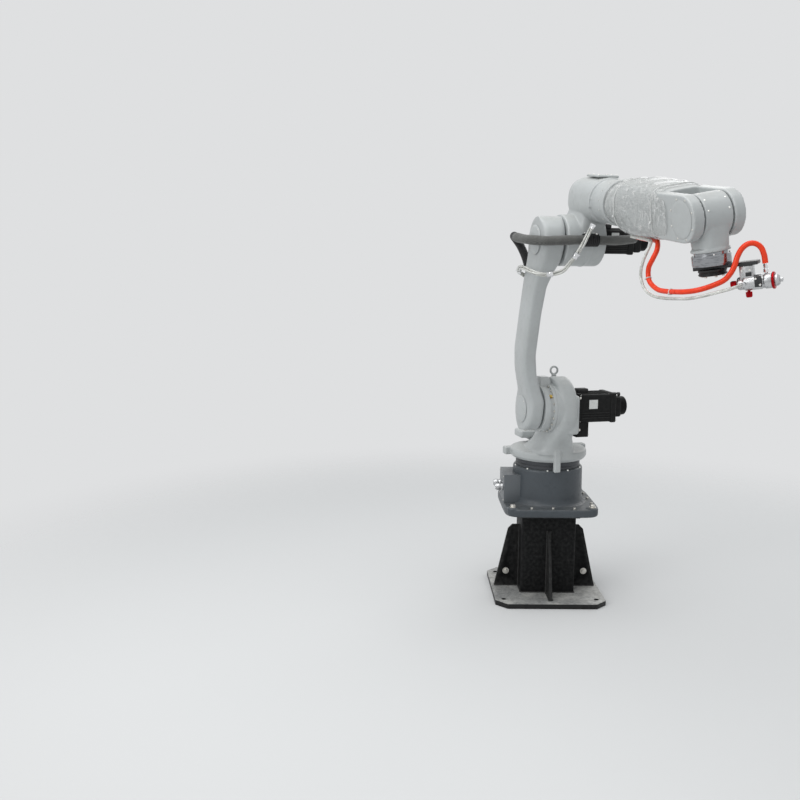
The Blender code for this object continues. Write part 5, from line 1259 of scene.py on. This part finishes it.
def gun():
    """The spray gun, in its own frame: z along its axis, x down from the bracket."""
    body = [revolve([(0.0, 0.074), (0.0185, 0.074), (0.0215, 0.079), (0.0215, 0.092), (0.0245, 0.096), (0.0245, 0.146),
                     (0.0222, 0.149), (0.0222, 0.155), (0.0245, 0.158), (0.0245, 0.178), (0.0, 0.178)], ease=0.0012,
                    sides=64),
            rounded_box((-0.056, -0.0171, 0.0844), (0.004, 0.0171, 0.126), 0.003)]
    piece("gun_body_machined", moved(joined(*body), GUN), "gun_silver", "tool_body", "gun_body")
    blocks = [rounded_box((-0.0345, -0.0195, 0.103), (-0.0215, 0.0195, 0.1215), 0.002),
              rounded_box((-0.02, -0.0275, 0.129), (0.014, -0.0225, 0.151), 0.0015)]
    piece("gun_black_blocks", moved(joined(*blocks), GUN), "tool_black", "tool_body")
    heads = [GUN @ shift(-0.041, side * 0.0171, z) @ (Y_AXIS if side > 0 else MINUS_Y_AXIS)
             for side in (-1.0, 1.0) for z in (0.093, 0.117)]
    heads += [GUN @ shift(x, -0.0275, z) @ MINUS_Y_AXIS for x, z in ((-0.013, 0.134), (0.007, 0.146))]
    piece("gun_screws", repeated(cap_screw(0.0034), heads), "bright_zinc", "tool_body")
    ring = revolve([(0.0, 0.1783), (0.0255, 0.1783), (0.0275, 0.18), (0.0275, 0.1845), (0.0255, 0.1863), (0.0, 0.1863)],
                   ease=0.0008, sides=64)
    piece("gun_retaining_ring", moved(ring, GUN), "red_anodised", "tool_body", "gun_ring")
    cap = revolve([(0.0, 0.1866), (0.019, 0.1866), (0.019, 0.194), (0.0145, 0.1998), (0.0076, 0.2015), (0.0076, 0.2086),
                   (0.0033, 0.2086), (0.0033, 0.204), (0.0, 0.204)], ease=0.0006, sides=64)
    piece("gun_air_cap_turned", moved(cap, GUN), "gun_silver", "tool_body", "gun_air_cap")
    grip = knob(0.01, 0.0217)
    piece("gun_back_knob_turned", moved(grip, GUN @ shift(0.0, 0.0, 0.0737) @ turn(180.0, "X")), "red_anodised",
          "tool_body", "gun_back_knob")
    side = GUN @ shift(0.0248, 0.0, 0.1052) @ X_AXIS
    piece("gun_side_knob_turned", moved(grip, side), "red_anodised", "tool_body", "gun_side_knob")
    fitting = union_fitting()
    fluid = GUN @ shift(-0.0248, 0.0, 0.1614) @ turn(-90.0, "Y")
    air = GUN @ shift(0.0, -0.0248, 0.0948) @ MINUS_Y_AXIS
    piece("gun_fluid_union", moved(fitting, fluid), "chrome", "tool_body", "gun_fluid_fitting")
    piece("gun_air_union", moved(fitting, air), "chrome", "tool_body", "gun_air_fitting")
    valve = radial([(0.0075, 0.0), (0.0075, 0.004), (hexagon(0.013), 0.004), (hexagon(0.013), 0.012),
                    (0.0052, 0.0125), (0.0052, 0.019), (hexagon(0.0095), 0.0192), (hexagon(0.0095), 0.024)])
    spots = [GUN @ shift(-0.0345, side * 0.009, 0.112) @ turn(-90.0, "Y") for side in (-1.0, 1.0)]
    piece("gun_valve_stems", repeated(valve, spots), "chrome", "tool_body")


def knob(radius, length):
    """A knurled knob: its radius ripples round it in fine ridges."""
    sides = 72
    ridge = radius * (1.0 - 0.05 * (np.arange(sides) % 2))
    return radial([(radius * 0.5, 0.0), (radius * 0.5, length * 0.15), (ridge, length * 0.2), (ridge, length * 0.8),
                   (radius * 0.8, length), (radius * 0.3, length)], sides)


def union_fitting():
    """A hose union: hexagon nut, collar and ferrule nut."""
    nut = hexagon(0.0148)
    small = hexagon(0.0128)
    return radial([(0.005, 0.0), (0.005, 0.003), (nut, 0.003), (nut, 0.012), (0.006, 0.013), (0.006, 0.016),
                   (small, 0.0165), (small, 0.026), (0.0055, 0.0285), (0.0055, 0.0297)])


# Hoses

HOSE_STEPS = 120
PAINT_RADIUS = 0.0088
AIR_RADIUS = 0.0055
SLEEVE_ROUTE = [
    (LINK_END, [(-0.0905, -0.212, -0.1363), (-0.114, -0.222, -0.098), (-0.132, -0.244, -0.0548),
                (-0.121, -0.278, -0.0164), (-0.056, -0.295, -0.0028), (0.0156, -0.292, 0.0071)]),
    (CLAMP, [(-0.0593, -0.215, -0.0092), (-0.0193, -0.175, -0.0068), (-0.0037, -0.13, -0.0027),
             (0.0, -0.07, -0.0002), (0.0, -0.0305, -0.0002)]),
    (CLAMP, [(0.0, 0.0305, -0.0002), (0.0, 0.07, -0.0002), (-0.0041, 0.11, 0.0002),
             (-0.0144, 0.16, 0.0019), (-0.0311, 0.205, 0.0057)]),
]
ELBOW_AIR_ROUTE = [
    (LINK_END, [(-0.075, -0.2112, -0.19), (-0.0757, -0.222, -0.174), (-0.058, -0.264, -0.146),
                (0.0131, -0.29, -0.1087), (0.0626, -0.289, -0.1002), (0.114, -0.277, -0.1014)]),
    (CLAMP, [(-0.0068, -0.188, -0.137), (0.0159, -0.154, -0.131), (0.0258, -0.115, -0.1179),
             (0.0291, -0.085, -0.0821), (0.0334, -0.065, -0.0462), (0.0414, -0.046, -0.0078),
             (0.0463, -0.03, 0.0312), (0.0473, -0.017, 0.0616)]),
]
PAINT_LOOP_ROUTE = [
    (FORK, [(-0.4025, -0.035, -0.1054), (-0.3325, -0.035, -0.105), (-0.2725, -0.038, -0.1025),
            (-0.2305, -0.05, -0.1035), (-0.1975, -0.0725, -0.1234), (-0.2006, -0.0875, -0.1508),
            (-0.2181, -0.0957, -0.1856), (-0.2026, -0.1027, -0.2253), (-0.1475, -0.1042, -0.2452),
            (-0.0872, -0.1018, -0.2436), (-0.0347, -0.0977, -0.2372)]),
]
PAINT_TAIL_ROUTE = [
    (FORK, [(-0.0339, -0.0977, -0.2371), (0.0019, -0.0927, -0.2321), (0.0458, -0.078, -0.2236),
            (0.074, -0.0477, -0.2129)]),
    (GUN, [(-0.018, -0.0425, 0.0385), (-0.036, -0.042, 0.061), (-0.0595, -0.0385, 0.0765), (-0.087, -0.0315, 0.0865),
           (-0.11, -0.022, 0.1), (-0.1225, -0.012, 0.119), (-0.1195, -0.004, 0.1385), (-0.1045, 0.0, 0.153),
           (-0.08, 0.0, 0.16), (-0.0553, 0.0, 0.1614)]),
]
AIR_LOOP_ROUTE = [
    (FORK, [(-0.4025, -0.06, -0.0985), (-0.3325, -0.06, -0.098), (-0.2775, -0.063, -0.0975),
            (-0.2375, -0.072, -0.102), (-0.2194, -0.114, -0.1569), (-0.2247, -0.1229, -0.2073),
            (-0.1919, -0.127, -0.2482), (-0.1347, -0.1274, -0.2619), (-0.0744, -0.1221, -0.2608),
            (-0.0318, -0.1162, -0.2561)]),
]
AIR_TAIL_ROUTE = [
    (FORK, [(-0.031, -0.1162, -0.256), (0.0048, -0.1103, -0.2512), (0.0442, -0.0972, -0.2461),
            (0.0826, -0.0721, -0.2361)]),
    (GUN, [(0.0105, -0.0865, 0.0322), (0.0055, -0.0882, 0.062), (0.001, -0.0805, 0.086), (0.0, -0.0665, 0.0945),
           (0.0, -0.0553, 0.0948)]),
]
def route_points(route):
    """The route's points in the row frame."""
    stretches = [np.array(points) @ place[:3, :3].T + place[:3, 3] for place, points in route]
    return np.vstack(stretches)


def hose(name, nodes, route, radius, finish, shape=None):
    """One hose along its route, given its finish and no body. Without a shape of its own it is a plain round tube."""
    line = smooth_route(route_points(route), HOSE_STEPS)
    if shape is None:
        shape = tube(line, radius, 20)
    made = make_mesh(name, shape, 80.0)
    settle(made, finish, None, nodes)
    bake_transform(made)
    return made


def sleeve_shape(line, radius):
    """The sleeve's skin: a ribbed hose over its first quarter, r (1 + 0.045 sin(2 pi s / 7 mm)), then cloth with
    slow folds and one ridge along it where the sleeve is closed."""
    count = len(line)
    run = np.concatenate([[0.0], np.cumsum(np.linalg.norm(np.diff(line, axis=0), axis=1))])[:, None]
    share = run / run[-1]
    angle = np.linspace(0.0, 2.0 * math.pi, 28, endpoint=False)[None, :]
    cloth = 1.0 / (1.0 + np.exp(-(share - 0.275) * 160.0))
    ribs = 0.045 * np.sin(run * 2.0 * math.pi / 0.007)
    folds = 0.03 * np.sin(run * 55.0 + 2.0 * angle) + 0.03 * np.sin(run * 24.0 - angle)
    ridge = 0.1 * np.exp(-((angle - 4.4) / 0.22) ** 2)
    reach = radius * (1.0 + (1.0 - cloth) * (ribs - 0.1) + cloth * (folds + ridge))
    return tube(line, np.broadcast_to(reach, (count, 28)), 28)


def mark_along(thing, line):
    """Store how far along the line each point's nearest place is, from 0 to 1."""
    points = np.empty(len(thing.data.vertices) * 3)
    thing.data.vertices.foreach_get("co", points)
    points = points.reshape(-1, 3)
    nearest = np.concatenate([np.linalg.norm(part[:, None] - line[None], axis=2).argmin(axis=1)
                              for part in np.array_split(points, 12)])
    layer = thing.data.attributes.new("along", "FLOAT", "POINT")
    layer.data.foreach_set("value", (nearest / (len(line) - 1.0)).astype(np.float32))


def hose_union(name, line, index):
    """A chrome union in the bundle of clear tubes: a nut, a collar and a nut."""
    nut = hexagon(0.0225)
    small = hexagon(0.0195)
    shape = radial([(0.0092, -0.014), (small, -0.013), (small, -0.004), (0.0098, -0.003), (0.0098, 0.001),
                    (nut, 0.002), (nut, 0.01), (0.0096, 0.012)])
    made = settle(make_mesh(name, moved(shape, end_place(line, index))), "chrome", None)
    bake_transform(made)


def hose_tie(name, line, index):
    """A white cable tie round a hose: a ring with its lock."""
    place = end_place(line, index)
    angle = np.linspace(0.0, 2.0 * math.pi, 32, endpoint=False)
    ring = np.stack([0.0096 * np.cos(angle), 0.0096 * np.sin(angle), 0.0 * angle], -1)
    lock = rounded_box((0.0086, -0.003, -0.0028), (0.0146, 0.003, 0.0028), 0.0012)
    shape = moved(joined(tube(ring, 0.0017, 8, closed=True), lock), place)
    made = settle(make_mesh(name, shape, 80.0), "blank_white", None)
    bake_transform(made)


def hoses():
    """Sleeved hose bundle and clear tubes round the elbow, paint and air hoses down to the gun, and the clamp."""
    held = (CLAMP @ shift(0.0, -0.0305, 0.0))[:3, 3].tolist()
    line = smooth_route(route_points(SLEEVE_ROUTE), 480)
    made = hose("sleeve_woven", ("sleeve_rear", "sleeve_front"), SLEEVE_ROUTE, 0.019, "sleeve",
                sleeve_shape(line, 0.0188))
    mark_along(made, line)
    line = smooth_route(route_points(ELBOW_AIR_ROUTE), 160)
    strands = twisted(line, 3, 0.0054, 1.3)
    bundle = joined(*[tube(strand, 0.0043, 14) for strand in strands])
    hose("elbow_air_tube", ("elbow_air_hose",), ELBOW_AIR_ROUTE, 0.01, "clear_hose",
         shape=bundle)
    for name, index in (("elbow_air_union_rear", 20), ("elbow_air_union_middle", 90), ("elbow_air_union_front", 124)):
        hose_union(name, line, index)
    for name, index, body in (("elbow_air_start_unions", 0, "upper_arm_body"),
                              ("elbow_air_end_unions", -1, "elbow_body")):
        flip = turn(180.0, "X") if index else WORLD
        spots = [end_place(strand, index) @ flip @ shift(0.0, 0.0, -0.004) for strand in strands]
        nut = radial([(hexagon(0.0104), 0.0), (hexagon(0.0104), 0.009), (0.0046, 0.01), (0.0046, 0.018)])
        piece(name, repeated(nut, spots), "chrome", body)
    for name, nodes, route, radius, finish, body, other in (
            ("paint_loop", ("paint_hose_loop",), PAINT_LOOP_ROUTE, PAINT_RADIUS, "orange_hose", "forearm_body",
             "wrist_body"),
            ("paint_tail", ("paint_hose_tail",), PAINT_TAIL_ROUTE, PAINT_RADIUS, "orange_hose", "wrist_body",
             "tool_body"),
            ("air_loop", ("gun_air_hose_loop",), AIR_LOOP_ROUTE, AIR_RADIUS, "clear_hose", "forearm_body",
             "wrist_body"),
            ("air_tail", ("gun_air_hose_tail",), AIR_TAIL_ROUTE, AIR_RADIUS, "clear_hose", "wrist_body",
             "tool_body")):
        hose(name, nodes, route, radius, finish)
    line = smooth_route(route_points(PAINT_LOOP_ROUTE), HOSE_STEPS)
    hose_tie("hose_tie_rear", line, 76)
    hose_tie("hose_tie_front", line, 112)
    grooves = np.where(np.arange(60) % 8 < 2, 0.0225, 0.026)
    line = np.stack([np.zeros(60), np.linspace(-0.03, 0.03, 60), np.zeros(60)], -1)
    foot = rounded_box((-0.0317, -0.021, -0.0182), (0.0, 0.021, 0.0182), 0.003)
    piece("sleeve_clamp_ribbed", moved(joined(tube(line, grooves, 40), foot), CLAMP), "rubber", "elbow_body",
          "sleeve_clamp")
    spots = [CLAMP @ shift(side_x * 0.012, side_y * 0.02, 0.0235) for side_x in (-1.0, 1.0) for side_y in (-1.0, 1.0)]
    piece("sleeve_clamp_screws", repeated(cap_screw(0.0036), spots), "bright_zinc", "elbow_body")


camera()
hoses()
pedestal()
base()
turret()
upper_arm()
elbow()
forearm()
wrist()
tool()
studio()
